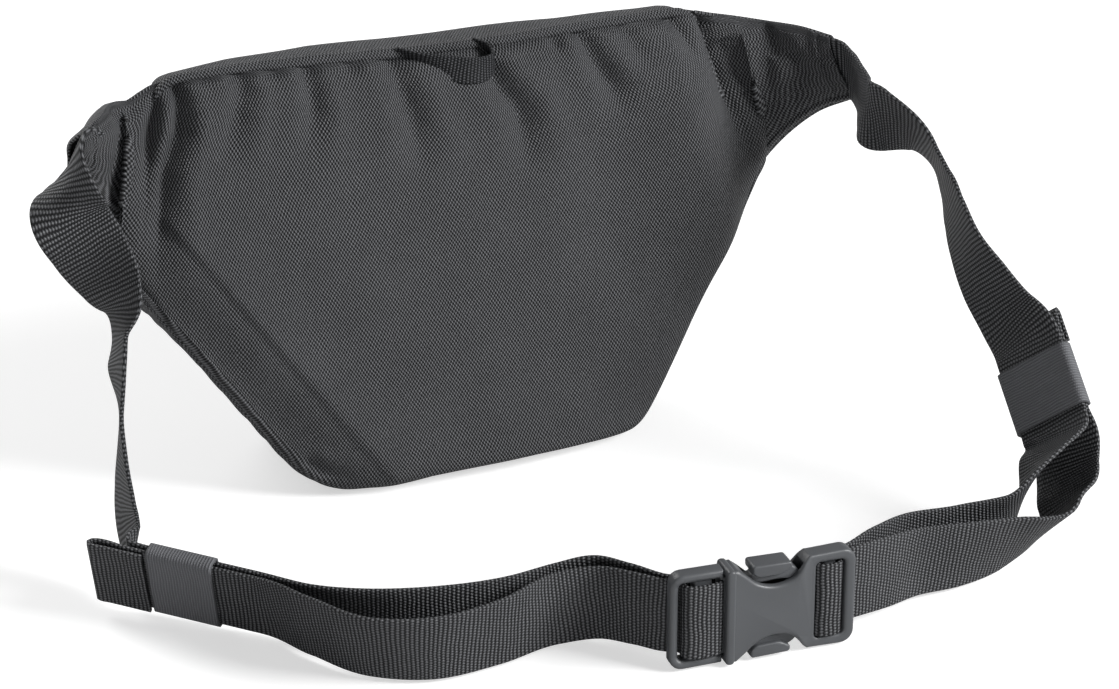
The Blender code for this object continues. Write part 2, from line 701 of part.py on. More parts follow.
keeper("left_keeper", left_mid, left_along, left_across, left_in)
keeper("right_keeper", right_mid, right_along, right_across, right_in)

# Buckle, built about its own middle: x along the belt, y through it, z across it
buckle_frame = Matrix.Translation(point(*BUCKLE_AT)) @ Matrix.Rotation(BUCKLE_YAW, 4, "Z")


def slot(x_from, x_to):
    half = WEB_WIDTH / 2 + 0.5
    return rounded([(x_from, -half), (x_from, half), (x_to, half), (x_to, -half)], [0.8] * 4, 2)


h = BUCKLE_HALF_HEIGHT
male = plate("buckle_male", [
    rounded([(-BUCKLE_HALF, -h), (MALE_FACE_X, -h + 0.6), (MALE_FACE_X, -4.4), (8.0, -3.6), (8.0, 3.6),
             (MALE_FACE_X, 4.4), (MALE_FACE_X, h - 0.6), (-BUCKLE_HALF, h)],
            [3.0, 1.2, 0.0, 1.5, 1.5, 0.0, 1.2, 3.0], 3),
    slot(-27.2, -23.7), slot(-20.4, -16.2),
], FRAME_THICK / 2, PLASTIC_MAT)
male.matrix_world = buckle_frame

ladder = plate("buckle_female", [
    rounded([(14.0, -h + 0.4), (BUCKLE_HALF, -h), (BUCKLE_HALF, h), (14.0, h - 0.4)], [0.0, 3.0, 3.0, 0.0], 3),
    slot(16.2, 20.4), slot(23.7, 27.2),
], FRAME_THICK / 2, PLASTIC_MAT)
body_length = 15.8 - FEMALE_FACE_X
body_mid = (15.8 + FEMALE_FACE_X) / 2
shell = box("female_shell", (body_mid, 0.0, 0.0), (body_length, BODY_THICK, 31.0), None, bevel=1.4, segments=2,
            collection=cutters)
hollow = box("female_hollow", (0.8, 0.0, 0.0), (26.0, 5.2, 27.6), None, collection=cutters)
cut(ladder, shell, "UNION")
cut(ladder, hollow)
notches = []
for sign in (1.0, -1.0):
    bm = bmesh.new()
    bmesh.ops.create_cone(bm, cap_ends=True, segments=40, radius1=NOTCH_RADIUS * MM, radius2=NOTCH_RADIUS * MM,
                          depth=20.0 * MM)
    bmesh.ops.rotate(bm, matrix=Matrix.Rotation(pi / 2, 3, "X"), verts=bm.verts)
    bmesh.ops.translate(bm, vec=Vector((NOTCH_X, 0.0, sign * NOTCH_Z)) * MM, verts=bm.verts)
    notch = from_bmesh("notch_up" if sign > 0 else "notch_down", bm, None, cutters)
    cut(ladder, notch)
    notches.append(notch)
baked(ladder)
for tool in [shell, hollow] + notches:
    bpy.data.objects.remove(tool, do_unlink=True)
ladder.matrix_world = buckle_frame

for name, sign in (("upper_prong", 1.0), ("lower_prong", -1.0)):
    # local origin on the flexing root
    loop = [(0.0, -1.6), (8.0, -1.0), (16.0, -0.6), (22.4, -2.2), (23.6, 0.6), (20.0, 4.2), (13.0, 5.2), (7.9, 4.4),
            (7.5, 2.3), (0.0, 1.6)]
    prong = plate(name, [rounded([(x, z * sign) for x, z in loop], [0.3, 0.0, 0.0, 1.2, 1.2, 2.0, 2.0, 0.4, 0.0, 0.3], 2)],
                  2.1, PLASTIC_MAT)
    prong.matrix_world = buckle_frame @ Matrix.Translation(Vector((PRONG_ROOT_X, 0.0, sign * PRONG_ROOT_Z)) * MM)
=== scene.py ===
from math import atan2, cos, pi, radians, sin, tan
import bpy
import numpy as np
from mathutils import Matrix, Vector, noise


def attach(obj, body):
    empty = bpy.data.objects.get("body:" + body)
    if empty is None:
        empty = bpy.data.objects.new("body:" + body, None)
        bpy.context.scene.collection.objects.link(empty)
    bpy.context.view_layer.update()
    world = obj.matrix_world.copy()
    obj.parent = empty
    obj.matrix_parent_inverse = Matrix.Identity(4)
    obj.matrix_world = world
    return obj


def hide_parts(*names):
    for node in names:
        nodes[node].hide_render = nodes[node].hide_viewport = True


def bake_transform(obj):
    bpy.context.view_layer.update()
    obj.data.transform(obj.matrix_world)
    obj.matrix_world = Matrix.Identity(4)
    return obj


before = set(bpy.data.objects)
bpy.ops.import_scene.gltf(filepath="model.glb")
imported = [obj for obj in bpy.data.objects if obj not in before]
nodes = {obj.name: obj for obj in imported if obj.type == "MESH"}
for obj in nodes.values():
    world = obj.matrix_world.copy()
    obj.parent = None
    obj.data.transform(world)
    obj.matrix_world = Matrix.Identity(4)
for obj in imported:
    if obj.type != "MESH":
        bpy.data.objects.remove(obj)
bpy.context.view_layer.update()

baseMidY = 34.0                        # the drawing's y of the frame's origin, mm
leanAngle = radians(13.25)             # the bag leans back from the wearer
lean = tan(leanAngle)
bpy.ops.object.select_all(action="DESELECT")
print("stage: frame loaded,", len(nodes), "nodes")


# everyday helpers
def linear(hexColour):                 # sRGB hex to linear RGBA
    shades = [int(hexColour[i:i + 2], 16) / 255 for i in (1, 3, 5)]
    return [s / 12.92 if s <= 0.04045 else ((s + 0.055) / 1.055) ** 2.4 for s in shades] + [1.0]


def addNode(mat, kind, values=None, links=None, **settings):
    node = mat.node_tree.nodes.new(kind)
    for key, value in settings.items():
        setattr(node, key, value)
    for key, value in (values or {}).items():
        node.inputs[key].default_value = value
    for key, source in (links or {}).items():  # from the output given, or from a node's first output
        socket = source.outputs[0] if isinstance(source, bpy.types.Node) else source
        mat.node_tree.links.new(socket, node.inputs[key])
    return node


def newMaterial(name, **values):
    mat = bpy.data.materials.new(name)
    mat.use_nodes = True
    shader = mat.node_tree.nodes["Principled BSDF"]
    for key, value in values.items():
        shader.inputs[key].default_value = value
    return mat, shader


def at(x, y, z):                       # drawing millimetres to frame metres
    return Vector((x, y - baseMidY, z)) * 0.001


def toFrame(points):
    moved = np.array(points, float)
    moved[:, 1] -= baseMidY
    return moved * 0.001


def ramp(value, low, high):            # smooth step between two values
    t = np.clip((value - low) / (high - low), 0.0, 1.0)
    return t * t * (3 - 2 * t)


def fall(value, low, high):            # the same step downwards
    return 1 - ramp(value, low, high)


def bell(value, middle, width):
    return np.exp(-((value - middle) / width) ** 2)


def stacked(*parts):                   # separate coordinates to one row for each point
    return np.stack(parts, axis=1)


def unitRows(ways):
    return ways / np.linalg.norm(ways, axis=1)[:, None]


def curveThrough(knots, values, t):    # smooth curve through given stations
    knots = np.asarray(knots, float)
    values = np.asarray(values, float)
    t = np.clip(np.asarray(t, float), knots[0], knots[-1])
    i = np.clip(np.searchsorted(knots, t, side="right") - 1, 0, len(knots) - 2)
    step = np.diff(knots)
    slope = np.diff(values, axis=0) / step[:, None]
    turn = np.empty_like(values)
    turn[0] = slope[0]
    turn[-1] = slope[-1]
    turn[1:-1] = (slope[:-1] * step[1:, None] + slope[1:] * step[:-1, None]) / (step[1:] + step[:-1])[:, None]
    h = step[i][:, None]
    s = ((t - knots[i]) / step[i])[:, None]
    return (values[i] * (2 * s ** 3 - 3 * s ** 2 + 1) + turn[i] * h * (s ** 3 - 2 * s ** 2 + s)
            + values[i + 1] * (3 * s ** 2 - 2 * s ** 3) + turn[i + 1] * h * (s ** 3 - s ** 2))


def softCorners(corners, cuts, steps):  # closed outline with every corner turned into an arc
    points = []
    for i in range(len(corners)):
        here = Vector(corners[i])
        before = (Vector(corners[i - 1]) - here).normalized()
        after = (Vector(corners[(i + 1) % len(corners)]) - here).normalized()
        if cuts[i] == 0:
            points.append((here.x, here.y))
            continue
        half = before.angle(after) / 2
        radius = cuts[i] * tan(half)
        middle = here + (before + after).normalized() * (radius / sin(half))
        start = here + before * cuts[i] - middle
        end = here + after * cuts[i] - middle
        first = atan2(start.y, start.x)
        swing = (atan2(end.y, end.x) - first + pi) % (2 * pi) - pi
        for k in range(steps + 1):
            a = first + swing * k / steps
            points.append((middle.x + radius * cos(a), middle.y + radius * sin(a)))
    return points


def rectangle(left, right, half):      # corners of a box that is even about its long middle
    return [(left, -half), (right, -half), (right, half), (left, half)]


def runAlong(points):                  # length run from the first point to each
    return np.concatenate([[0.0], np.cumsum(np.linalg.norm(np.diff(points, axis=0), axis=1))])


def alongLine(run, lengths, line):     # points of a polyline at lengths run along it
    return stacked(*[np.interp(run, lengths, part) for part in line.T])


def alone(ob):                         # selects one object and makes it the active one
    bpy.ops.object.select_all(action="DESELECT")
    ob.select_set(True)
    bpy.context.view_layer.objects.active = ob


def apply(ob, kind, **settings):       # adds a modifier and applies it
    alone(ob)
    bpy.ops.object.modifier_add(type=kind)
    mod = ob.modifiers[-1]
    for key, value in settings.items():
        setattr(mod, key, value)
    bpy.ops.object.modifier_apply(modifier=mod.name)
    return ob


def smoothBy(ob, degrees):
    alone(ob)
    bpy.ops.object.shade_smooth_by_angle(angle=radians(degrees))
    return ob


def edited(ob, *steps):                # runs mesh operators on the whole of a piece
    alone(ob)
    bpy.ops.object.mode_set(mode="EDIT")
    for step, settings in steps:
        bpy.ops.mesh.select_all(action="SELECT")
        step(**settings)
    bpy.ops.object.mode_set(mode="OBJECT")
    return ob


faceOut = (bpy.ops.mesh.normals_make_consistent, dict(inside=False))


def tidyMesh(ob, gap=1e-6):            # welds doubles and turns the faces outwards
    return edited(ob, (bpy.ops.mesh.remove_doubles, dict(threshold=gap)), faceOut)


def flipped(ob):                       # turns the faces of a sheet to its other side
    return edited(ob, (bpy.ops.mesh.flip_normals, {}))


def softGrid(name, columns, rows, place, weld=False, measured=0.0):
    # a flat grid laid onto a curved form; place gives drawing mm and the cloth's own mm for each (u, v)
    bpy.ops.object.select_all(action="DESELECT")
    bpy.ops.mesh.primitive_grid_add(x_subdivisions=columns, y_subdivisions=rows, size=1.0, location=(0, 0, 0))
    ob = bpy.context.object
    ob.name = name
    mesh = ob.data
    mesh.name = name
    flat = np.empty(len(mesh.vertices) * 3)
    mesh.vertices.foreach_get("co", flat)
    flat = flat.reshape(-1, 3) + 0.5
    points, cloth = place(flat[:, 0], flat[:, 1])
    mesh.vertices.foreach_set("co", toFrame(points).ravel())
    if measured:                       # the weave follows the true length over each fold
        spots = np.asarray(points).reshape(rows + 1, columns + 1, 3)
        chart = np.array(cloth).reshape(rows + 1, columns + 1, 2)
        level = np.abs(np.diff(chart[..., 0], axis=1))
        rise = np.diff(chart[..., 1], axis=1)
        true = np.sqrt(np.maximum(np.sum(np.diff(spots, axis=1) ** 2, axis=2) - rise ** 2, 0.0))
        run = np.cumsum(level + measured * (true - level), axis=1)
        run = np.concatenate([np.zeros((rows + 1, 1)), run], axis=1)
        chart[..., 0] = run - run[:, columns // 2:columns // 2 + 1]
        cloth = chart.reshape(-1, 2)
    corner = np.empty(len(mesh.loops), int)
    mesh.loops.foreach_get("vertex_index", corner)
    mesh.uv_layers.active.name = "cloth"
    mesh.uv_layers.active.data.foreach_set("uv", np.asarray(cloth, float)[corner].ravel())
    mesh.update()
    if weld:
        tidyMesh(ob)
    bpy.ops.object.shade_smooth()
    return ob


def dress(ob, body, mats, slotName, *cadNodes):
    for mat in mats:
        ob.data.materials.append(mat)
    if body:
        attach(ob, body)
    if cadNodes:
        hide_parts(*cadNodes)
    return ob


# camera at the photograph's viewing angle
view = dict(azimuth=-25.2, elevation=24.68, distance=1.2003, lens=112.24, target=(0.0390, -0.0126, 0.0300))
a, e = radians(view["azimuth"]), radians(view["elevation"])
back = Vector((sin(a) * cos(e), -cos(a) * cos(e), sin(e)))
bpy.ops.object.camera_add(location=Vector(view["target"]) + back * view["distance"])
camera = bpy.context.object
camera.rotation_euler = (-back).to_track_quat("-Z", "Y").to_euler()
camera.data.lens = view["lens"]
camera.data.sensor_width = 36.0
camera.data.clip_start = 0.05
camera.data.clip_end = 60.0
bpy.context.scene.camera = camera
bpy.context.scene.view_settings.view_transform = "Standard"


# pale floor and soft studio light
studio = dict(floor=40.0, floorColour="#d6d6d6", worldFill=0.09, aim=(0.02, -0.03, 0.06),
              glowNear=0.60, glowFar=1.0, nearEnds=1.2, farStarts=3.5,
              keyPower=90.0, keySize=1.0, keyAt=(1.75, -1.60, 1.40),
              rimPower=42.0, rimSize=1.4, rimAt=(-0.7, 2.1, 1.35),
              lowPower=13.0, lowSize=0.9, lowAt=(-1.3, -1.8, 0.10))
bpy.ops.mesh.primitive_plane_add(size=studio["floor"], location=(0, 0, -0.0004))
floor = bpy.context.object
floor.name = "studioFloor"
paper, paperShader = newMaterial("seamlessPaper", **{"Base Color": linear(studio["floorColour"]), "Roughness": 0.9,
                                                     "Specular IOR Level": 0.1})
# matt backdrop paper; seen directly it is burnt out to plain white apart from the contact shadow
path = addNode(paper, "ShaderNodeLightPath")
where = addNode(paper, "ShaderNodeTexCoord")
away = addNode(paper, "ShaderNodeVectorMath", None, {0: where.outputs["Object"]}, operation="LENGTH")
lift = addNode(paper, "ShaderNodeMapRange", {"From Min": studio["nearEnds"], "From Max": studio["farStarts"],
                                             "To Min": studio["glowNear"], "To Max": studio["glowFar"]},
               {"Value": away.outputs["Value"]})   # the lamps don't reach the far paper
glow = addNode(paper, "ShaderNodeEmission", {"Color": (1, 1, 1, 1)}, {"Strength": lift})
dark = addNode(paper, "ShaderNodeEmission", {"Color": (0, 0, 0, 1), "Strength": 0.0})
seen = addNode(paper, "ShaderNodeMixShader", None, {0: path.outputs["Is Camera Ray"], 1: dark, 2: glow})
both = addNode(paper, "ShaderNodeAddShader", None, {0: paperShader, 1: seen})
paper.node_tree.links.new(both.outputs[0], paper.node_tree.nodes["Material Output"].inputs["Surface"])
floor.data.materials.append(paper)

world = bpy.data.worlds.new("studioWorld")
bpy.context.scene.world = world
world.use_nodes = True
fill = world.node_tree.nodes["Background"]
fill.inputs["Color"].default_value = (1, 1, 1, 1)
fill.inputs["Strength"].default_value = studio["worldFill"]
white = addNode(world, "ShaderNodeBackground", {"Color": (1, 1, 1, 1), "Strength": 1.0})
path = addNode(world, "ShaderNodeLightPath")
mirrored = addNode(world, "ShaderNodeMath", {1: 0.3}, {0: path.outputs["Is Glossy Ray"]}, operation="MULTIPLY")
glossy = addNode(world, "ShaderNodeMath", None, {0: path.outputs["Is Camera Ray"], 1: mirrored}, operation="MAXIMUM")
either = addNode(world, "ShaderNodeMath", None, {0: glossy, 1: path.outputs["Is Transmission Ray"]},
                 operation="MAXIMUM")
shown = addNode(world, "ShaderNodeMixShader", None, {0: either, 1: fill, 2: white})
world.node_tree.links.new(shown.outputs[0], world.node_tree.nodes["World Output"].inputs["Surface"])
for name in ("key", "rim", "low"):
    bpy.ops.object.light_add(type="AREA", location=studio[name + "At"])
    lamp = bpy.context.object
    lamp.name = name + "Light"
    lamp.data.energy = studio[name + "Power"]
    lamp.data.size = studio[name + "Size"]
    lamp.rotation_euler = (Vector(studio["aim"]) - lamp.location).to_track_quat("-Z", "Y").to_euler()
print("stage: camera, floor and light")


# materials
def finished(mat, shader, colour, relief, gloss, strength, deepMm):
    # one relief drives both the gloss, given as (from, from, to, to), and the bump
    span = dict(zip(("From Min", "From Max", "To Min", "To Max"), gloss))
    rough = addNode(mat, "ShaderNodeMapRange", span, {"Value": relief})
    bump = addNode(mat, "ShaderNodeBump", {"Strength": strength, "Distance": deepMm * 0.001}, {"Height": relief})
    for key, socket in (("Base Color", colour), ("Roughness", rough.outputs[0]), ("Normal", bump.outputs[0])):
        mat.node_tree.links.new(socket, shader.inputs[key])
    return mat


def wovenCloth(name, darkHex, lightHex, across, rowStep, roughness, bumpMm, ribs=0.0, sheen=0.0, gleam=0.1):
    # threads that float in a brick pattern, as on pack cloth or a strap; sizes in mm on the cloth's own map
    mat, shader = newMaterial(name, **{"Specular IOR Level": gleam, "Sheen Weight": sheen, "Sheen Roughness": 0.45})
    cloth = addNode(mat, "ShaderNodeUVMap", uv_map="cloth")
    wander = addNode(mat, "ShaderNodeTexNoise", {"Scale": 0.09, "Detail": 2.0}, {"Vector": cloth})
    drift = addNode(mat, "ShaderNodeVectorMath", {1: (0.5, 0.5, 0.5)}, {0: wander.outputs["Color"]},
                    operation="SUBTRACT")
    pull = addNode(mat, "ShaderNodeVectorMath", {"Scale": 1.3}, {0: drift}, operation="SCALE")
    lie = addNode(mat, "ShaderNodeVectorMath", None, {0: cloth, 1: pull}, operation="ADD")
    split = addNode(mat, "ShaderNodeSeparateXYZ", None, {0: lie})
    turnU = addNode(mat, "ShaderNodeMath", {1: 2 * pi / across}, {0: split.outputs["X"]}, operation="MULTIPLY")
    turnV = addNode(mat, "ShaderNodeMath", {1: pi / rowStep}, {0: split.outputs["Y"]}, operation="MULTIPLY")
    waveU = addNode(mat, "ShaderNodeMath", None, {0: turnU}, operation="COSINE")
    waveV = addNode(mat, "ShaderNodeMath", None, {0: turnV}, operation="COSINE")
    knots = addNode(mat, "ShaderNodeMath", None, {0: waveU, 1: waveV}, operation="MULTIPLY")
    twice = addNode(mat, "ShaderNodeMath", {1: 2.0}, {0: turnV}, operation="MULTIPLY")
    ridge = addNode(mat, "ShaderNodeMath", None, {0: twice}, operation="COSINE")
    ridged = addNode(mat, "ShaderNodeMath", {1: ribs}, {0: ridge}, operation="MULTIPLY")
    floats = addNode(mat, "ShaderNodeMath", {1: 1.0 - ribs}, {0: knots, 2: ridged}, operation="MULTIPLY_ADD")
    fray = addNode(mat, "ShaderNodeTexNoise", {"Scale": 0.75, "Detail": 3.0}, {"Vector": cloth})
    uneven = addNode(mat, "ShaderNodeMath", {1: 1.1, 2: 0.45}, {0: fray.outputs["Fac"]}, operation="MULTIPLY_ADD")
    height = addNode(mat, "ShaderNodeMath", None, {0: floats, 1: uneven}, operation="MULTIPLY")
    blotch = addNode(mat, "ShaderNodeTexNoise", {"Scale": 0.035, "Detail": 3.0}, {"Vector": cloth})
    shade = addNode(mat, "ShaderNodeMapRange", {"From Min": -0.36, "From Max": 0.66}, {"Value": height})
    worn = addNode(mat, "ShaderNodeMath", {1: 0.24, 2: -0.12}, {0: blotch.outputs["Fac"]}, operation="MULTIPLY_ADD")
    tone = addNode(mat, "ShaderNodeMath", None, {0: shade, 1: worn}, operation="ADD", use_clamp=True)
    yarn = addNode(mat, "ShaderNodeMix", {6: linear(darkHex), 7: linear(lightHex)}, {0: tone}, data_type="RGBA")
    gloss = (-1.0, 1.0, roughness + 0.14, roughness - 0.06)
    return finished(mat, shader, yarn.outputs[2], height.outputs[0], gloss, 0.75, bumpMm)


def smoothFinish(name, hexColour, roughness, grainMm, grainDepth, metallic=0.0, mottle=0.12):
    # a moulded or coated surface: even colour, fine grain, gloss that wanders a little
    mat, shader = newMaterial(name, **{"Metallic": metallic, "IOR": 1.5})
    place = addNode(mat, "ShaderNodeTexCoord")
    grain = addNode(mat, "ShaderNodeTexNoise", {"Scale": 1000.0 / grainMm, "Detail": 2.0},
                    {"Vector": place.outputs["Object"]})
    cloud = addNode(mat, "ShaderNodeTexNoise", {"Scale": 90.0, "Detail": 3.0}, {"Vector": place.outputs["Object"]})
    base = linear(hexColour)
    deep = [c * (1 - mottle) for c in base[:3]] + [1.0]
    pale = [c * (1 + mottle) for c in base[:3]] + [1.0]
    tint = addNode(mat, "ShaderNodeMix", {6: deep, 7: pale}, {0: cloud.outputs["Fac"]}, data_type="RGBA")
    gloss = (0.3, 0.7, roughness - 0.05, roughness + 0.07)
    return finished(mat, shader, tint.outputs[2], grain.outputs["Fac"], gloss, 0.5, grainDepth)


# coated polyester pack cloth: dark ground, brighter floats about 1.15 mm apart in rows of 0.8 mm
packCloth = wovenCloth("packClothPolyester", "#0b0c0e", "#6c6d70", 1.15, 0.84, 0.52, 0.42, gleam=0.3)
# polyester lining taffeta: finer, smoother and a shade lighter, seen inside the open mouth
liningCloth = wovenCloth("liningTaffeta", "#3b3d40", "#66686c", 0.9, 0.6, 0.55, 0.12)
# polypropylene belt webbing: hard ribs across the strap 1.35 mm apart, each a row of bright dots
beltWeb = wovenCloth("beltWebbingPolypropylene", "#151618", "#6f7073", 1.05, 1.35, 0.54, 0.38, ribs=0.5, gleam=0.3)
# narrow polyester tape of the hang loop: the belt's ribs in a duller yarn, its colour made darker as painted shade
# for the shadow the loop lies in
hangTapePaintedShade = wovenCloth("hangLoopTapePaintedShade", "#0d0e10", "#4b4c4f", 0.9, 1.2, 0.58, 0.34, ribs=0.5, gleam=0.2)
# knitted elastic of the keepers: fine close ribs along the band, softer than the belt; its colour is raised paler
# than the belt as painted light, standing in for light bounced up from the floor
keeperElasticPaintedBounce = wovenCloth("keeperKnitPaintedBounce", "#606164", "#77787c", 0.8, 0.95, 0.62, 0.18, ribs=0.7, sheen=0.03)
# zip tape: tight herringbone twill, dull and almost black
zipTape = wovenCloth("zipTapeTwill", "#222325", "#46474a", 0.9, 0.6, 0.7, 0.12, ribs=0.2)
# polyester sewing thread: a glossy twisted strand, slightly brighter than the cloth it sinks into
sewingThread = smoothFinish("sewingThreadPolyester", "#4a4b4d", 0.45, 0.4, 0.05)
# injection-moulded acetal: even charcoal with a satin spark-eroded grain and soft rounded highlights
acetal = smoothFinish("buckleAcetalMoulded", "#515356", 0.40, 0.35, 0.012, mottle=0.05)
# nylon zip coil: drawn monofilament, smooth and glossy black
coilNylon = smoothFinish("zipCoilNylon", "#1c1d1f", 0.34, 0.5, 0.005)
# die-cast zinc with a baked dark coating: glossy, worn a little paler where it rubs
castZinc = smoothFinish("sliderZincCoated", "#4c4d50", 0.34, 0.6, 0.01, metallic=0.75)
print("stage: materials")


def linedCloth(ob, thick, body, *cadNodes):  # pack cloth outside, lining inside; thickness in mm
    apply(ob, "SOLIDIFY", thickness=thick * 0.001, offset=-1.0, material_offset=1, material_offset_rim=0)
    return dress(ob, body, [packCloth, liningCloth], "fabric", *cadNodes)


# bag body
bag = dict(footX=57.0, sideX=111.0, sideZ=78.0, topX=97.0, topZ=138.0, rearFootX=61.0, padRightX=114.0,
           depth=64.0, narrow=0.10, drop=0.28, padOut=5.7, crown=2.4, hollow=7.5, crest=3.4, belly=4.6,
           clothThick=1.0, seamRow=0.482, seamTurn=0.0187)
bagRight = [(bag["footX"], 0.0), (bag["sideX"], bag["sideZ"]), (bag["topX"], bag["topZ"])]
bagLeft = [(-x, z) for x, z in bagRight]
bagCorners = bagLeft[:1] + bagRight + bagLeft[:0:-1]
bagCuts = [11.7, 11.7, 10.0, 8.7, 8.7, 10.0]
rearSide = [(bag["rearFootX"], 0.0), (115.2, bag["sideZ"])]   # stuffed fuller on the right
rearCorners = bagCorners[:1] + rearSide + bagCorners[3:]
rearCuts = [17.0, 12.5, 10.0, 8.7, 8.7, 10.0]
topRise = dict(x=(-114, -106, -102, -98, -91, -69, -51, -33, -14, 6, 25, 45, 96),   # the seam bows up on the left
               rise=(0.3, 0.2, 2.2, 3.6, 4.5, 4.6, 3.6, 2.6, 1.4, 0.6, 0.2, 0.6, 0.6))


def bodyPoint(x, z, d):                # the bag narrows and drops towards its front
    share = (np.maximum(d, 0.0) / bag["depth"]) ** 2
    nx = x * (1 - bag["narrow"] * share)
    nz = z * (1 - bag["drop"] * share)
    return stacked(nx, d + nz * lean, nz)


def lifted(spot, d):                   # bows the top seam
    up = np.interp(spot[:, 0], topRise["x"], topRise["rise"])
    up = up * ramp(spot[:, 2], 84.0, 136.0) * fall(d, 10.0, 32.0)
    spot[:, 2] += up
    spot[:, 1] += up * lean
    return spot


def softNoise(points, scale, seed):    # slow lumps, the same on each run
    return np.array([noise.noise(Vector((p[0] * scale + seed, p[1] * scale, p[2] * scale - seed))) for p in points])


# folds of the back cloth: depth, half width and the ridge beside it in mm, then the path in (x, z) on the panel
folds = [
    (5.6, 3.4, 1.3, ((-90.0, 142), (-90.3, 136), (-90.1, 131), (-92.0, 121.6), (-97.3, 113), (-100.2, 102),
      (-102.8, 90), (-104.7, 79))),
    (2.4, 2.4, 1.0, ((-95.8, 134.4), (-101.7, 122.1), (-106.4, 106.8), (-108.7, 95.4))),
    (3.0, 3.4, 0.8, ((-112.6, 133.6), (-112.9, 130), (-116.6, 126), (-118.7, 119), (-117.6, 109.5),
      (-113, 100))),
    (2.4, 2.2, 0.6, ((-113.4, 139), (-114.6, 135.7), (-117.1, 131.6))),
    (2.2, 2.0, 0.9, ((-80.0, 142), (-81.0, 134))),
    (3.4, 3.2, 1.2, ((-68.4, 142), (-69.3, 131.2), (-73.8, 121), (-80.3, 111))),
    (2.2, 2.4, 0.9, ((-56.0, 142), (-58.0, 132))),
    (3.4, 3.0, 1.2, ((-44.0, 142), (-46.0, 134), (-46.4, 121), (-53.4, 110))),
    (2.2, 2.2, 0.9, ((-30.0, 142), (-31.4, 131))),
    (3.6, 4.2, 1.3, ((-17.0, 141), (-15.7, 131), (-13.4, 121), (-11.5, 108.5), (-11.5, 96))),
    (4.4, 4.4, 1.6, ((16.6, 133), (20.0, 123.5), (25.8, 115.3), (27.0, 105.5), (26.3, 92))),
    (2.6, 2.2, 1.0, ((41.6, 139), (43.6, 130))),
    (3.8, 3.4, 1.5, ((51.0, 139), (53.5, 132.9), (54.8, 127.7), (59.6, 119), (66, 107))),
    (1.8, 2.8, 0.8, ((67.0, 139), (70.0, 131), (74.0, 122))),
    (3.2, 2.8, 1.2, ((83.0, 140), (86.8, 135.8), (90.7, 127.7), (94.6, 118))),
    (6.4, 5.0, 0.6, ((99.4, 136), (100.5, 129.3), (102.8, 122.4), (105.4, 112), (107.0, 99), (108.6, 84))),
    (4.6, 4.6, 0.2, ((106.4, 126), (109.1, 120), (111.8, 110), (114.6, 102))),
    (3.4, 2.8, 0.5, ((120.6, 134), (122.3, 130.8), (124.3, 126.1), (126, 121.6), (128.2, 117))),
    (2.4, 2.6, 0.4, ((129.0, 123.5), (130.6, 120.4), (131.9, 115.6), (131.4, 107.8), (128.4, 98))),
    (2.2, 2.8, 0.4, ((123.0, 120.4), (123.5, 112), (124.6, 103.6), (126, 95))),
    (1.6, 2.0, 0.4, ((118.4, 99), (118.8, 92), (119.2, 86))),
    (1.5, 2.4, 0.6, ((-62, 14), (-55, 8), (-46, 7))),
]


def foldField(x, z):                   # how far the cloth sinks (+) or swells (-) at each place
    total = np.zeros_like(x)
    for depth, width, ridge, path in folds:
        path = np.array(path, float)
        lengths = np.hypot(*np.diff(path, axis=0).T)
        whole = lengths.sum()
        nearest = np.full_like(x, 1e9)
        side = np.zeros_like(x)
        along = np.zeros_like(x)
        run = 0.0
        for (p, q, size) in zip(path[:-1], path[1:], lengths):
            way = (q - p) / size
            t = np.clip((x - p[0]) * way[0] + (z - p[1]) * way[1], 0, size)
            dx = x - p[0] - way[0] * t
            dz = z - p[1] - way[1] * t
            far = np.hypot(dx, dz)
            closer = far < nearest
            nearest = np.where(closer, far, nearest)
            side = np.where(closer, np.sign(way[0] * dz - way[1] * dx), side)
            along = np.where(closer, (run + t) / whole, along)
            run += size
        fade = ramp(along, -0.05, 0.10) * fall(along, 0.5, 1.05)
        reach = width * (0.75 + 0.6 * along)
        valley = np.exp(-(nearest / reach) ** 1.4)
        bank = bell(nearest, 2.1 * reach, 1.1 * reach) * np.where(side > 0, 1.0, 0.55)
        total += fade * (depth * valley - ridge * bank)
    return total


# edges of the back cloth from the left wing's tip to the right wing's tip: (x, depth, z) below and above;
# over the bag itself both seams are equally deep and the upper one is level: x and z below, x above
bagStations = [(-84.0, 39.0, -80.0), (-66.4, 13.6, -64.0), (-58.6, 5.6, -58.0), (-50.6, 1.6, -50.6),
               (-40.0, 0.0, -40.0), (0.0, 0.0, 0.0), (48.5, 0.0, 46.0), (55.8, 1.0, 52.5), (62.4, 4.4, 58.5),
               (68.6, 11.0, 64.0), (88.1, 39.0, 81.0)]
backStations = [
    ((-131.9, -3.0, 118.5), (-130.9, -24.5, 139.5)),
    ((-125.1, 6.3, 103.2), (-119.9, -11.5, 139.6)),
    ((-115.6, 9.4, 86.8), (-110.4, 4.4, 137.6)),
    ((-110.4, 6.0, 77.6), (-102.5, 4.6, 137.0)),
    ((-104.5, 4.2, 68.4), (-95.0, 4.2, 137.6)),
] + [((low, 4.0, z), (high, 4.0, bag["topZ"])) for low, z, high in bagStations] + [
    ((108.5, 4.2, 68.4), (95.0, 4.2, 137.8)),
    ((114.8, 6.0, 77.0), (103.0, 5.2, 135.4)),
    ((121.0, 8.4, 83.0), (113.4, 7.0, 132.4)),
    ((128.6, 1.8, 93.4), (122.4, 0.6, 131.4)),
    ((136.4, -4.4, 100.8), (129.0, -7.6, 131.4)),
    ((148.0, -10.0, 105.5), (137.0, -18.4, 130.0)),
]
backKnots = [sum(p[0] for p in pair) / 2 for pair in backStations]
wingThick = [(-131.4, 3.0), (-122.5, 6.0), (-113.0, 9.4), (-104.0, 10.4), (104.0, 10.4), (114.5, 9.4), (127.0, 6.0),
             (136.0, 4.2), (142.5, 3.4)]


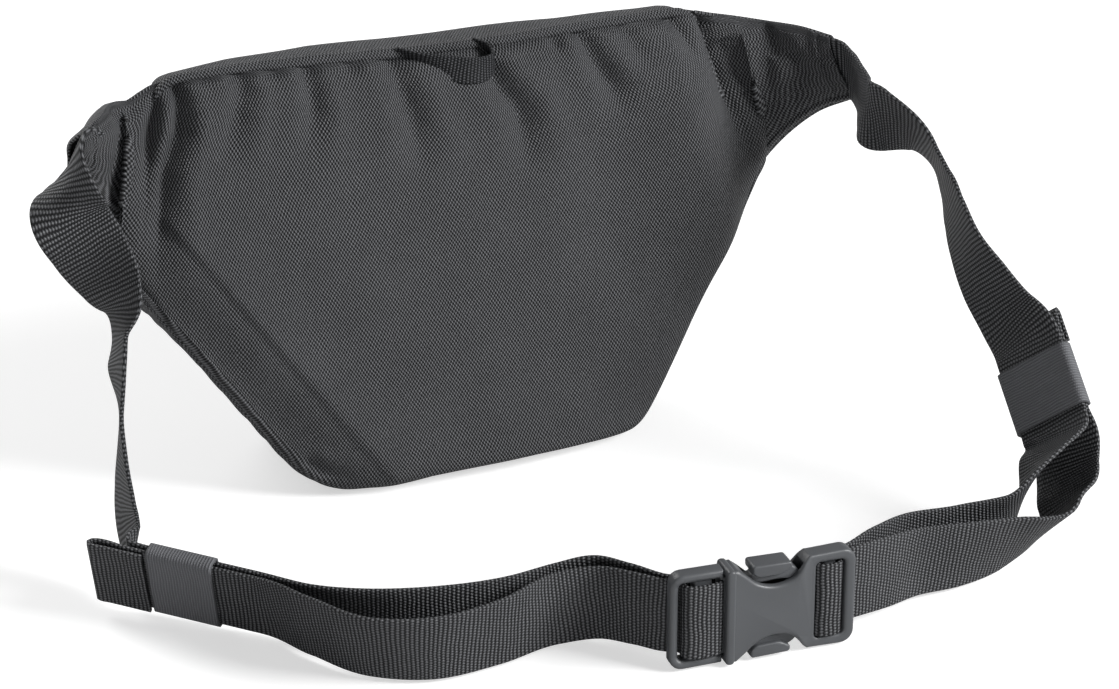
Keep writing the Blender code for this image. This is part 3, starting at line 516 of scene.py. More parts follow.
def edgesAt(t):                        # lower and upper seam of the back cloth at each column
    pairs = curveThrough(backKnots, [sum(pair, ()) for pair in backStations], t)
    return pairs[:, :3], pairs[:, 3:]


def backBase(t, v):                    # the ruled surface between both seams, and the way its outer side faces
    low, high = edgesAt(t)
    flat = low + (high - low) * v[:, None]
    lowA, highA = edgesAt(t + 0.6)
    lowB, highB = edgesAt(t - 0.6)
    along = (lowA + (highA - lowA) * v[:, None]) - (lowB + (highB - lowB) * v[:, None])
    up = high - low
    for way in (along, up):
        way[:, 1] += way[:, 2] * lean
    face = unitRows(np.cross(along, up))
    spot = stacked(flat[:, 0], flat[:, 1] + flat[:, 2] * lean, flat[:, 2])
    return spot, face, np.linalg.norm(up, axis=1)


clothSteps = np.linspace(backKnots[0], backKnots[-1], 400)
clothMiddle = backBase(clothSteps, np.full(400, 0.5))[0]
clothRun = runAlong(clothMiddle)


def clothAt(t, spot):                  # the cloth's own map: along the bag and up it, so that its rows lie level
    return stacked(np.interp(t, clothSteps, clothRun) + 0.55 * (spot[:, 0] - t), spot[:, 2] / cos(leanAngle))


def lens(v, power=0.55):               # height of a stuffed section between its two seams
    return np.clip(4 * v * (1 - v), 0, 1) ** power


def fromLower(x, z):                   # distance from the lower slanting side, x measured from its foot
    return x * 0.8222 + z * 0.5692


def fromUpper(x, z):                   # distance from the upper slanting side, x measured from the wide corner
    return x * 0.9739 + (bag["sideZ"] - z) * 0.2272


def padHeight(x, z):                   # the foam pad's plateau with its sloping border
    below = z / (6.5 + 6.5 * ramp(-x, -10.0, 40.0))
    leftLow = fromLower(bag["footX"] + x, z) / 20.0
    rightLow = fromLower(bag["rearFootX"] - x, z) / 22.0
    leftUp = fromUpper(bag["sideX"] + x, z) / 11.0
    rightUp = fromUpper(bag["padRightX"] - x, z) / 13.0
    above = (bag["topZ"] - z) / 15.0
    rest = np.exp(-4.0 * below) + np.exp(-3.6 * leftUp) + np.exp(-3.4 * rightUp) + np.exp(-3.2 * above)
    plain = np.clip(1 - (np.exp(-3.6 * rightLow) + rest), 0, 1)
    facet = np.clip(leftLow, 0, 2)     # on the lower left the pad ends in a crisp edge with a flat slope beside it
    slope = 0.10 + 0.62 * ramp(facet, -0.25, 1.0) + 0.28 * ramp(facet, 0.90, 1.10)
    return plain * np.where(facet >= 1.10, 1.0, slope)


def backPlace(u, v):
    t = np.interp(u, [0.0, 0.30, 0.68, 1.0], [backKnots[0], -88.0, 92.0, backKnots[-1]])  # finer on the wings
    row = (v - 0.5) / bag["seamRow"] * 0.5 + 0.5         # the outermost rows turn in at the seams
    inside = np.clip(row, 0.0, 1.0)
    spot, face, tall = backBase(t, inside)
    x = spot[:, 0]
    z = spot[:, 2]
    cloth = clothAt(t, spot)
    wing = ramp(x, 99.0, 116.0) + ramp(-x, 97.0, 113.0)
    stuffed = np.interp(t, *zip(*wingThick)) * lens(inside)
    crown = bag["crown"] * np.clip(1 - (x / 104) ** 2, 0, 1) * np.clip(1 - ((z - 72) / 74) ** 2, 0, 1)
    rightIn = (bag["padRightX"] - x) * 0.974 + (bag["sideZ"] - z) * 0.227
    drawn = ramp(x, 50.0, 99.0) * ramp(z, 34.0, 82.0) * fall(z, 112.0, 137.0) * ramp(rightIn, 2.0, 24.0)
    crown += bag["hollow"] * drawn     # the right side is drawn forward by its wing
    leftIn = fromLower(bag["footX"] + x, z)
    crest = np.exp(-np.clip(leftIn - 21.0, 0, None) / 26.0) * ramp(leftIn, 2.0, 21.0) * fall(z, 70.0, 110.0)
    crown += bag["crest"] * crest      # and the lower left stands highest beside its slope
    belly = bag["belly"] * bell(x, 12.0, 42.0) * bell(z, 0.0, 15.0) * ramp(z, 0.0, 2.4)
    edge = np.minimum(inside, 1 - inside) * tall
    roll = 1.7 * np.where(inside > 0.5, ramp(edge, 0.0, 10.0), ramp(edge, 0.0, 2.6))
    panel = roll + bag["padOut"] * padHeight(x, z) + crown + belly
    panel -= 1.7 * bell((1 - inside) * tall, 0.0, 2.2)   # tucked under the rolled edge of the top strip
    sink = foldField(x, z) * ramp(edge, -1.0, 4.0)
    lumps = 0.45 * softNoise(spot, 0.035, 3.7) + 0.16 * softNoise(spot, 0.10, 8.1)
    swell = panel * (1 - wing) + stuffed * wing - sink + lumps * ramp(edge, 0.0, 12.0)
    tip = np.minimum(t - backKnots[0], backKnots[-1] - t)
    swell += 0.7 * fall(tip, 4.6, 5.6) - 0.55 * bell(tip, 3.4, 0.5)      # folded hem with its stitch line
    binding = bell(inside * tall, 1.6, 0.9) * wing
    swell += 0.5 * binding - 0.5 * bell(inside * tall, 3.4, 0.7) * wing
    spot = spot + face * swell[:, None]
    over = np.clip(np.abs(row - 0.5) - 0.5, 0, None) / bag["seamTurn"]
    spot[:, 1] += 2.6 * np.clip(over, 0, 1.2)
    spot[:, 2] += 1.5 * np.sign(0.5 - row) * over * np.where(np.abs(row - 0.5) > 0.5, 1, 0)
    return lifted(spot, np.zeros_like(x)), cloth


backCloth = softGrid("backCloth", 320, 132, backPlace, measured=0.8)
linedCloth(backCloth, bag["clothThick"], "bag", "back_panel", "back_foam")
print("stage: back cloth,", len(backCloth.data.polygons), "faces")

# stuffed front of each wing, from the gusset to the tip
wingFront = dict(right=[(104.0, 17.0), (109.0, 14.0), (115.5, 10.0), (128.0, 5.6), (142.4, 1.9)],
                 left=[(-131.3, 2.0), (-122.5, 6.2), (-113.0, 10.0), (-107.0, 14.0), (-102.0, 17.0)])
for side in ("left", "right"):
    def wingPlace(u, v, profile=wingFront[side]):
        t = profile[0][0] + (profile[-1][0] - profile[0][0]) * u
        row = (v - 0.5) / 0.47 * 0.5 + 0.5
        inside = np.clip(row, 0.0, 1.0)
        spot, face = backBase(t, inside)[:2]
        cloth = clothAt(t, spot)
        thick = np.interp(t, *zip(*profile)) * lens(inside, 0.5)
        lumps = 0.8 * softNoise(spot, 0.06, 1.3) + 0.5 * softNoise(spot, 0.13, 5.2)
        creases = 1.6 * np.sin(t * 0.55 + 0.05 * spot[:, 2]) * bell(inside, 0.62, 0.3)
        spot = spot - face * (thick + (lumps - creases) * lens(inside))[:, None]
        return lifted(spot, np.zeros_like(t)), cloth
    wing = flipped(softGrid(side + "WingFront", 60, 44, wingPlace))
    apply(wing, "SOLIDIFY", thickness=0.0009, offset=-1.0)
    dress(wing, "bag", [packCloth], "fabric", side + "_wing")
print("stage: wings")


# gusset band round the sides and the bottom, sewn to the back and the front panel
gusset = dict(rearDepth=5.3, frontDepth=63.6, swell=0.3, pucker=0.35, allowance=4.0)
ring = softCorners(bagCorners, bagCuts, 8)
rearRing = softCorners(rearCorners, rearCuts, 8)
band = np.array(ring[36:54] + ring[0:36])
rearBand = np.array(rearRing[36:54] + rearRing[0:36])
bandRun = runAlong(band)


def bandLine(run, d):                  # the band's outline at a depth: fuller at the rear, as drawn at the front
    share = fall(d, 5.0, 52.0)
    return alongLine(run, bandRun, band) * (1 - share)[:, None] + alongLine(run, bandRun, rearBand) * share[:, None]


def bandPlace(u, v):
    run = u * bandRun[-1]
    d = gusset["rearDepth"] + (gusset["frontDepth"] - gusset["rearDepth"]) * v
    here = bandLine(run, d)
    way = unitRows(bandLine(run + 0.5, d) - bandLine(run - 0.5, d))
    out = stacked(way[:, 1], -way[:, 0])
    fromSeam = np.minimum(d - gusset["rearDepth"], gusset["frontDepth"] - d)
    turned = 1.5 * fall(fromSeam, 0.0, 2.6) + gusset["allowance"] * fall(d - gusset["rearDepth"], 0.0, 1.5)
    free = ramp(here[:, 1], 1.0, 26.0) * fall(here[:, 1], 108.0, 130.0)
    soft = gusset["swell"] * lens(v, 0.8) * free
    crimp = gusset["pucker"] * np.exp(-fromSeam / 7.0) * np.sin(run * 0.62 + 1.7 * np.sin(run * 0.081)) * free
    spot = bodyPoint(here[:, 0], here[:, 1], d)
    lumps = 0.7 * softNoise(spot, 0.045, 6.4) * free * ramp(fromSeam, 0, 10)
    tucked = 0.9 * ramp(here[:, 1], 128.0, 136.0)
    move = soft + crimp + lumps - turned - tucked
    spot[:, 0] += out[:, 0] * move
    spot[:, 2] += out[:, 1] * move
    return lifted(spot, d), stacked(d, run)


bandPiece = softGrid("gussetBand", 280, 40, bandPlace)
linedCloth(bandPiece, 1.0, "bag", "left_gusset", "right_gusset", "bottom_gusset")
print("stage: gusset band")


# front panel: a soft dome
front = dict(seamDepth=64.3, dome=11.0, middle=(0.0, 76.0), reach=76.0)
ringRun = np.array(ring + ring[:1])
ringLength = runAlong(ringRun)


def frontPlace(u, v):
    run = u * ringLength[-1]
    x, z = alongLine(run, ringLength, ringRun).T
    s = v ** 1.25
    x = x + (front["middle"][0] - x) * s
    z = z + (front["middle"][1] - z) * s
    reach = s * front["reach"]
    raised = 1.5 * ramp(reach, 0.0, 2.2) + (front["dome"] - 1.5) * (1 - np.exp(-reach / 10.0))
    spot = bodyPoint(x, z, np.full_like(x, bag["depth"]))
    lumps = 0.9 * softNoise(spot, 0.03, 2.2) + 0.35 * softNoise(spot, 0.08, 9.4)
    crimp = 0.5 * np.exp(-reach / 9.0) * np.sin(run * 0.55 + 1.4 * np.sin(run * 0.07)) * ramp(reach, 0.0, 4.0)
    spot[:, 1] += front["seamDepth"] - bag["depth"] + raised + (lumps * ramp(reach, 2.0, 25.0) + crimp)
    inward = 1.4 * fall(reach, 0.0, 2.0)
    spot[:, 0] -= np.sign(spot[:, 0]) * inward * 0.6
    spot[:, 2] += np.where(spot[:, 2] > 50, -inward * 0.35, inward * 0.3)
    return spot, stacked(x, z)


frontPiece = softGrid("frontPanel", 300, 52, frontPlace, weld=True)
linedCloth(frontPiece, 1.0, "bag", "front_panel")
print("stage: front panel")


# top: rear strip, lip and end panels round the zip
mouth = dict(half=69.0, tapeFrom=0.9, tapeTo=7.0, rearEdge=36.1, lipEdge=51.7, lipSeam=63.75,
             stripStitch=4.2, lipStitch=3.4, endRear=45.1, endFront=64.6, endGap=0.6)
topStraight = 87.95
welt = dict(radius=1.6, depth=3.7, start=radians(-70), turn=radians(160))   # rolled edge over the back seam
stripCrown = dict(x=(-100, -88, -66, -40, 25, 48, 70, 95), rise=(0.2, 0.6, 2.4, 4.2, 4.0, 2.8, 2.0, 1.2))


def topPoint(x, d):
    return bodyPoint(x, np.full_like(x, bag["topZ"]), d)


def topRow(x, d):                      # on the sloping top, at the given true half width
    spot = topPoint(np.zeros_like(x), d)
    spot[:, 0] = x
    return spot


def outerX(d):
    return topStraight * (1 - bag["narrow"] * (np.maximum(d, 0) / bag["depth"]) ** 2)


def stripPlace(u, v):
    nose = welt["radius"] * welt["turn"]
    s = v * (nose + mouth["rearEdge"] - welt["depth"])
    angle = welt["start"] + np.minimum(s, nose) / welt["radius"]
    d = welt["depth"] + np.maximum(s - nose, 0.0) - welt["radius"] * np.cos(angle) * (s < nose)
    flatD = np.maximum(d, welt["depth"])
    x = (2 * u - 1) * (outerX(flatD) + 0.25 + 9.0 * fall(flatD, 6.0, 26.0))
    spot = topRow(x, flatD)
    spot[:, 1] += d - flatD
    corner = np.interp(np.abs(x), [88.3, 91.5, 94.5, 97.0, 99.5], [0.0, 0.5, 1.8, 3.8, 7.0])
    zipSide = mouth["rearEdge"] - d
    roll = welt["radius"] * np.where(s < nose, np.sin(angle), 1 - 0.75 * ramp(s - nose, 0.6, 3.0))
    stitched = -0.55 * bell(s - nose, 1.6, 0.55)
    crown = np.interp(x, stripCrown["x"], stripCrown["rise"]) * bell(flatD, 19.0, 10.0) * (s >= nose)
    hem = -0.5 * bell(zipSide, mouth["stripStitch"], 0.8) - 1.1 * fall(zipSide, 0.0, 1.6)
    lumps = 0.5 * softNoise(spot, 0.05, 4.4) * ramp(s - nose, 2, 10) * ramp(zipSide, 2, 8)
    settle = -0.375 * ramp(s - nose, 6.0, 30.0)
    spot[:, 2] += roll + stitched + crown + hem + lumps + settle - corner - 0.2
    return lifted(spot, flatD), stacked(x, s)


strip = softGrid("rearTopStrip", 190, 80, stripPlace)
linedCloth(strip, 0.9, "bag", "rear_top_strip")
stripLong = welt["radius"] * welt["turn"] + mouth["rearEdge"] - welt["depth"]


lipLong = mouth["lipSeam"] - mouth["lipEdge"]


def lipPlace(u, v):
    d = mouth["lipEdge"] + lipLong * v
    x = (2 * u - 1) * mouth["half"]
    spot = topRow(x, d)
    zipSide = d - mouth["lipEdge"]
    hem = -0.35 * bell(zipSide, mouth["lipStitch"], 0.7) - 0.6 * fall(zipSide, 0.0, 1.2)
    spot[:, 2] += hem + 0.5 * lens(v) + 0.25 * softNoise(spot, 0.06, 7.7)
    return spot, stacked(x, d)


lip = softGrid("mouthLip", 120, 24, lipPlace)
linedCloth(lip, 0.9, "mouth_lip", "mouth_lip")

for side, sign in (("left", -1.0), ("right", 1.0)):
    def endPlace(u, v, sign=sign):
        d = mouth["endRear"] + (mouth["endFront"] - mouth["endRear"]) * v
        inner = mouth["half"] + mouth["endGap"]
        x = sign * (inner + (outerX(d) - inner) * u) if sign > 0 else sign * (outerX(d) + (inner - outerX(d)) * u)
        spot = topRow(x, d)
        spot[:, 2] += 0.4 * lens(v) * lens(u) - 0.4 * fall(d, 45.0, 47.0) - 0.9 * ramp(d, 63.2, mouth["endFront"])
        return spot, stacked(x, d)
    endPanel = softGrid(side + "EndPanel", 16, 24, endPlace)
    linedCloth(endPanel, 0.9, "bag", side + "_end_panel")
print("stage: top strips")


# lining of the back panel
def liningPlace(u, v):
    t = -94.0 + 188.0 * u
    low = np.interp(np.abs(t), [0, 44, 52, 58, 104], [1.9, 1.9, 3.2, 7.0, 73.5])
    z = low + (136.2 - low) * v
    spot = stacked(t, 4.4 + z * lean, z)
    spot[:, 1] += 0.35 * softNoise(spot, 0.05, 1.1)
    return spot, stacked(t, z)


liningSheet = flipped(softGrid("backLining", 96, 60, liningPlace))
apply(liningSheet, "SOLIDIFY", thickness=0.0004, offset=0.0)
dress(liningSheet, "bag", [liningCloth], "lining", "back_lining")
print("stage: lining")


# zip: tapes and coils on both sides of the slit
zipAt = topPoint(np.zeros(3), np.array([43.0, 44.0, 45.0]))
zipDown = Vector(zipAt[2] - zipAt[0]).normalized()
zipOut = Vector((1, 0, 0)).cross(zipDown)
zipFrame = Matrix(((1, zipDown.x, zipOut.x, 0), (0, zipDown.y, zipOut.y, zipAt[1][1]),
                   (0, zipDown.z, zipOut.z, zipAt[1][2]), (0, 0, 0, 1)))
zipTurn = np.array(zipFrame.to_3x3())
zipper = dict(tapeHalf=83.5, pitch=1.3, coilEnd=80.0)


def zipPoints(x, down, out):
    return stacked(x, down, out) @ zipTurn.T + np.array([0.0, zipAt[1][1], zipAt[1][2]])


def repeatShape(name, unit, places):   # copies one small shape to many places as one mesh
    corners = np.empty(len(unit.data.vertices) * 3)
    unit.data.vertices.foreach_get("co", corners)
    corners = corners.reshape(-1, 3)
    faces = [list(f.vertices) for f in unit.data.polygons]
    spots = []
    sides = []
    for i, place in enumerate(places):
        turn = np.array(place)
        spots.append(corners @ turn[:3, :3].T + turn[:3, 3])
        sides += [[k + i * len(corners) for k in f] for f in faces]
    mesh = bpy.data.meshes.new(name)
    mesh.from_pydata(np.concatenate(spots).tolist(), [], sides)
    ob = bpy.data.objects.new(name, mesh)
    bpy.context.scene.collection.objects.link(ob)
    bpy.data.objects.remove(unit, do_unlink=True)
    return smoothBy(ob, 60)


metres = Matrix.Scale(0.001, 4)


def sewn(name, body, line, out, step, reach):  # a row of stitches along a line on a piece
    line = np.array([list(p) for p in line], float)
    run = runAlong(line)
    bpy.ops.mesh.primitive_uv_sphere_add(segments=8, ring_count=6, radius=1.0, location=(0, 0, 0))
    unit = bpy.context.object
    places = []
    for s in np.arange(step / 2, run[-1], step):
        here, ahead, behind = [Vector(p) for p in alongLine([s, s + 0.2, s - 0.2], run, line)]
        way = (ahead - behind).normalized()
        side = Vector(out).cross(way).normalized()
        turn = Matrix((way * reach, side * 0.21, way.cross(side) * 0.17)).transposed().to_4x4()
        places.append(Matrix.Translation(at(*here)) @ metres @ turn)
    return dress(repeatShape(name, unit, places), body, [sewingThread], "fabric")


zipWorld = Matrix.Translation(at(0, 0, 0)) @ metres @ zipFrame
for side, sign, half, body in (("rear", -1.0, zipper["tapeHalf"], "bag"),
                               ("front", 1.0, mouth["half"], "mouth_lip")):
    def tapePlace(u, v, sign=sign, half=half):
        x = (2 * u - 1) * half
        down = mouth["tapeFrom"] + (mouth["tapeTo"] - mouth["tapeFrom"]) * (v if sign > 0 else 1 - v)
        bead = 0.12 * bell(down, 1.3, 0.4)
        return zipPoints(x, sign * down, 0.33 + bead), stacked(x, down)
    tape = softGrid(side + "ZipTape", 120, 8, tapePlace)
    apply(tape, "SOLIDIFY", thickness=0.0007, offset=-1.0)
    dress(tape, body, [zipTape], "fabric", "zip_tape_" + side)
    bpy.ops.mesh.primitive_torus_add(major_segments=12, minor_segments=5, major_radius=1.0, minor_radius=0.34,
                                     location=(0, 0, 0))
    loop = bpy.context.object
    reach = min(half, zipper["coilEnd"])
    count = int(2 * reach / zipper["pitch"])
    teeth = []
    for i in range(count):
        x = -reach + zipper["pitch"] * (i + (0.5 if sign > 0 else 0.0)) + 0.4
        middle = sign * (mouth["tapeFrom"] + 0.55)
        spin = Matrix.Rotation(radians(90), 4, "Y") @ Matrix.Rotation(radians(12), 4, "X")
        size = Matrix.Diagonal((1.0, 1.22, 0.85, 1.0))
        teeth.append(zipWorld @ Matrix.Translation((x, middle, 1.35)) @ size @ spin @ Matrix.Scale(0.9, 4))
    coil = repeatShape(side + "ZipCoil", loop, teeth)
    dress(coil, body, [coilNylon], "zip_coil", "zip_coil_" + side)
ends = np.linspace(0.06, 0.94, 60)
hemRow = stripPlace(ends, np.full(60, 1 - mouth["stripStitch"] / stripLong))[0]
sewn("stripHemStitches", "bag", hemRow + np.array(zipOut) * 0.1, zipOut, step=2.7, reach=1.0)
lipRow = lipPlace(ends, np.full(60, mouth["lipStitch"] / lipLong))[0]
sewn("lipHemStitches", "mouth_lip", lipRow + np.array(zipOut) * 0.1, zipOut, step=2.7, reach=1.0)
for name in ("zip_slider", "zip_pull", "left_zip_stop", "right_zip_stop"):
    nodes[name].data.materials.clear()
    nodes[name].data.materials.append(castZinc)
print("stage: zip")


# belt: each strap is one strip from its wing round the buckle's crossbar and back as the tail
belt = dict(width=25.0, thick=1.4, layerStep=2.2, hemLength=17.5, hemRadius=1.05, sample=1.2)
buckle = dict(at=(25.8, -150.0, 16.5), yaw=radians(-6.0), half=30.0, tall=16.2, corner=4.2)
buckleTurn = Matrix.Rotation(buckle["yaw"], 3, "Z")
upright = (0.0, 0.0, 1.0)


def atBuckle(x, y, z=0.0):
    return Vector(buckle["at"]) + buckleTurn @ Vector((x, y, z))


def square(way, along):                # the part of a direction that lies across the belt
    way = Vector(way)
    return (way - along * way.dot(along)).normalized()


def doubled(middle, along, width, sign):  # a run of two layers: its middle and the ways along, across and inward
    along = Vector(along).normalized()
    across = square(width, along)
    return Vector(middle), along, across, across.cross(along).normalized() * sign


leftRun = doubled((-127.0, -61.2, 15.3), (0.705, -0.706, -0.06), (-0.12, -0.30, 0.94), 1.0)
rightRun = doubled((155.3, -102.5, 42.5), (-0.10, -0.78, -0.62), (0.56, -0.64, 0.52), -1.0)


def held(run, *places):                # stations of a strap along a doubled run: (along, layer)
    middle, along, across, inward = run
    return [(middle + along * a + inward * (layer * belt["layerStep"] / 2), across) for a, layer in places]


def roundBar(sign):                    # over the crossbar, from the inner layer to the outer one
    start = 13.4 if sign < 0 else 17.6
    way = [(26.0, 5.6), (start + 3.0, 5.5), (start + 0.7, 4.4), (start, 2.4), (start, -1.4), (start + 1.0, -2.9),
           (start + 3.0, -3.4), (22.6, -3.4), (24.6, -2.9), (25.3, -1.4), (25.3, 1.2), (26.2, 2.9), (28.0, 3.4)]
    return [(atBuckle(sign * x, y), upright) for x, y in way]


def hem(run, turnAt, layer, length):   # the tail's end, folded back on the outer side
    radius = belt["hemRadius"]
    step = belt["layerStep"] / 2
    turn = [(turnAt - radius * sin(a), layer - radius * (1 - cos(a)) / step) for a in (pi / 4, pi / 2, 3 * pi / 4)]
    outer = [(turnAt + length * share, layer - 2 * radius / step) for share in (0.0, 0.2, 0.6, 1.0)]
    return held(run, (turnAt, layer), *turn, *outer)


leftRoute = [
    ((-127.4, 20.4, 125.6), (0.08, -0.45, 0.88)),
    ((-132.0, 14.6, 129.2), (0.04, -0.62, 0.78)), ((-135.8, 9.0, 123.8), (0.45, -0.65, 0.60)),
    ((-137.0, 4.5, 115.2), (0.90, -0.40, 0.13)), ((-133.0, 0.0, 105.6), (0.86, -0.46, 0.26)),
    ((-127.8, -5.6, 94.0), (0.56, -0.74, 0.40)), ((-126.0, -9.0, 87.4), (0.22, -0.91, 0.44)),
    ((-128.0, -12.0, 79.6), (-0.11, -0.92, 0.42)), ((-130.9, -16.2, 71.6), (-0.08, -0.92, 0.42)),
    ((-132.0, -21.0, 57.4), (-0.27, -0.88, 0.42)), ((-133.4, -24.6, 46.6), (-0.20, -0.88, 0.45)),
    ((-134.6, -28.0, 35.0), (-0.08, -0.90, 0.49)), ((-135.4, -32.0, 25.6), (0.0, -0.86, 0.56)),
    ((-136.2, -38.6, 18.8), (-0.03, -0.66, 0.76)),
] + held(leftRun, (-18.0, 1.5), (-12.0, 1.0), (0.0, 1.0), (12.0, 1.0), (22.0, 1.0), (25.5, 1.0)) + [
    ((-98.0, -90.6, 13.4), (-0.08, -0.30, 0.95)), ((-83.6, -102.0, 12.8), (-0.04, -0.16, 1.0)),
    ((-64.4, -112.0, 13.0), upright), ((-44.0, -116.0, 13.4), upright), ((-27.0, -116.4, 14.4), upright),
    ((-15.5, -120.5, 16.4), upright), ((-8.6, -130.4, 17.0), upright),
] + roundBar(-1.0) + [
    ((-9.8, -135.6, 16.8), upright), ((-17.0, -126.6, 16.0), upright), ((-29.0, -121.8, 14.4), upright),
    ((-50.0, -125.6, 13.2), (-0.02, -0.16, 1.0)), ((-72.0, -126.0, 13.0), (-0.03, -0.24, 1.0)),
    ((-89.0, -117.0, 13.0), (-0.08, -0.30, 0.95)), ((-100.8, -98.0, 13.5), (-0.10, -0.32, 0.94)),
] + held(leftRun, (25.5, -1.0), (22.0, -1.0), (0.0, -1.0), (-18.0, -1.0))
leftRoute += hem(leftRun, -29.5, -1.0, belt["hemLength"])

rightRoute = [
    ((134.4, 18.6, 116.2), (-0.22, 0.04, 0.97)),
    ((140.9, 13.1, 117.8), (-0.32, -0.10, 0.95)), ((142.4, 10.6, 117.4), (-0.32, -0.12, 0.95)),
    ((143.0, 5.0, 115.6), (-0.24, -0.17, 0.95)), ((140.4, -3.6, 112.6), (-0.10, -0.24, 0.95)),
    ((137.4, -12.4, 111.0), (0.0, -0.31, 0.93)), ((139.0, -22.5, 111.8), (-0.06, -0.44, 0.86)),
    ((144.0, -32.0, 109.6), (-0.26, -0.64, 0.70)), ((148.6, -39.6, 102.6), (-0.40, -0.72, 0.56)),
    ((149.2, -46.0, 95.6), (-0.34, -0.79, 0.50)), ((147.9, -54.0, 88.4), (-0.22, -0.84, 0.44)),
    ((147.4, -62.0, 80.6), (-0.08, -0.82, 0.52)), ((150.0, -71.0, 70.4), (0.16, -0.72, 0.62)),
    ((154.4, -80.0, 59.8), (0.36, -0.65, 0.61)),
] + held(rightRun, (-17.0, 1.0), (-12.0, 1.0), (12.5, 1.0), (16.5, 1.6)) + [
    ((144.0, -122.0, 30.6), (0.14, -0.78, 0.55)),
    ((134.6, -128.4, 24.4), (-0.20, -0.66, 0.72)), ((122.6, -133.5, 16.6), (-0.06, -0.30, 0.95)),
    ((105.0, -134.0, 13.6), upright), ((87.0, -133.0, 14.2), upright), ((71.0, -139.5, 16.0), upright),
] + roundBar(1.0) + [
    ((74.0, -146.0, 15.6), upright), ((86.0, -142.6, 14.2), (0.0, -0.08, 1.0)),
    ((103.0, -142.8, 13.2), (0.0, -0.18, 1.0)), ((119.0, -142.2, 13.0), (-0.08, -0.38, 0.90)),
    ((131.0, -141.0, 13.4), (-0.20, -0.64, 0.72)), ((140.5, -138.6, 15.8), (-0.36, -0.80, 0.46)),
    ((146.5, -132.6, 19.2), (0.12, -0.87, 0.46)), ((151.8, -124.6, 22.4), (0.36, -0.80, 0.46)),
] + held(rightRun, (18.5, -2.3), (12.5, -1.0), (0.0, -1.0), (-12.0, -1.0))
rightRoute += hem(rightRun, -24.0, -2.2, belt["hemLength"] * 0.6)

hangRoute = [
    ((-12.2, 37.4, 137.9), (-0.25, -0.45, 0.82)), ((-7.7, 33.0, 137.0), (-0.20, -0.45, 0.82)),
    ((-1.7, 30.0, 135.4), (-0.20, -0.10, 0.95)), ((4.0, 27.5, 134.0), (-0.06, 0.22, 0.95)),
    ((8.8, 26.0, 133.2), (-0.10, 0.14, 0.97)), ((13.7, 26.5, 132.8), (-0.10, 0.0, 1.0)),
    ((18.2, 28.8, 133.6), (-0.20, -0.35, 0.88)), ((18.8, 33.0, 135.6), (-0.20, -0.45, 0.85)),
    ((15.6, 38.0, 136.6), (-0.20, -0.45, 0.85)),
]


def strap(name, route, width, thick, sample):
    centres = np.array([list(s[0]) for s in route], float)
    widths = np.array([list(Vector(s[1]).normalized()) for s in route], float)
    chord = runAlong(centres)
    half = width / 2
    flat = [-half + 0.7 + (width - 1.4) * k / 10 for k in range(11)]
    edge = [(half - cut, thick * share) for cut, share in ((0.32, -0.44), (0.06, -0.2), (0.06, 0.2), (0.32, 0.44))]
    section = [(a, -thick / 2) for a in flat] + edge + [(a, thick / 2) for a in reversed(flat)]
    section += [(-a, -b) for a, b in edge] + [(flat[0], -thick / 2)]
    section = np.array(section)
    around = runAlong(section)
    columns = int(chord[-1] / sample)
    rows = len(section) - 1

    def strapPlace(u, v):
        t = u * chord[-1]
        centre = curveThrough(chord, centres, t)
        along = unitRows(curveThrough(chord, centres, t + 0.8) - curveThrough(chord, centres, t - 0.8))
        across = curveThrough(chord, widths, t)
        across = unitRows(across - along * np.sum(across * along, axis=1)[:, None])
        through = np.cross(along, across)
        k = np.rint(v * rows).astype(int)
        spot = centre + across * section[k, 0][:, None] + through * section[k, 1][:, None]
        return spot, stacked(around[k], t)

    ob = softGrid(name, columns, rows, strapPlace)
    edited(ob, (bpy.ops.mesh.remove_doubles, dict(threshold=1e-6)), (bpy.ops.mesh.fill_holes, dict(sides=0)),
           faceOut)
    return smoothBy(ob, 50)


leftStrap = strap("leftStrap", leftRoute, belt["width"], belt["thick"], belt["sample"])
dress(leftStrap, None, [beltWeb], "webbing", "left_webbing")
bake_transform(leftStrap)
rightStrap = strap("rightStrap", rightRoute, belt["width"], belt["thick"], belt["sample"])
dress(rightStrap, "bag", [beltWeb], "webbing", "right_webbing")
hemFace = -1.0 - 2 * belt["hemRadius"] / (belt["layerStep"] / 2) - 0.66
for name, run, place in (("leftTailStitches", leftRun, (-17.9, hemFace)),
                         ("rightTailStitches", rightRun, (-18.4, hemFace - 1.2))):
    spot, across = held(run, place)[0]
    sewn(name, "bag", [spot + across * reach for reach in (-11.4, 0.0, 11.4)], -run[3],
         step=1.7, reach=0.62)
hangLoop = strap("hangLoop", hangRoute, width=9.0, thick=1.0, sample=1.2)
# the loop's tape carries painted shade: a darker copy of the webbing colour
dress(hangLoop, "bag", [hangTapePaintedShade], "webbing", "hang_loop")
print("stage: belt")


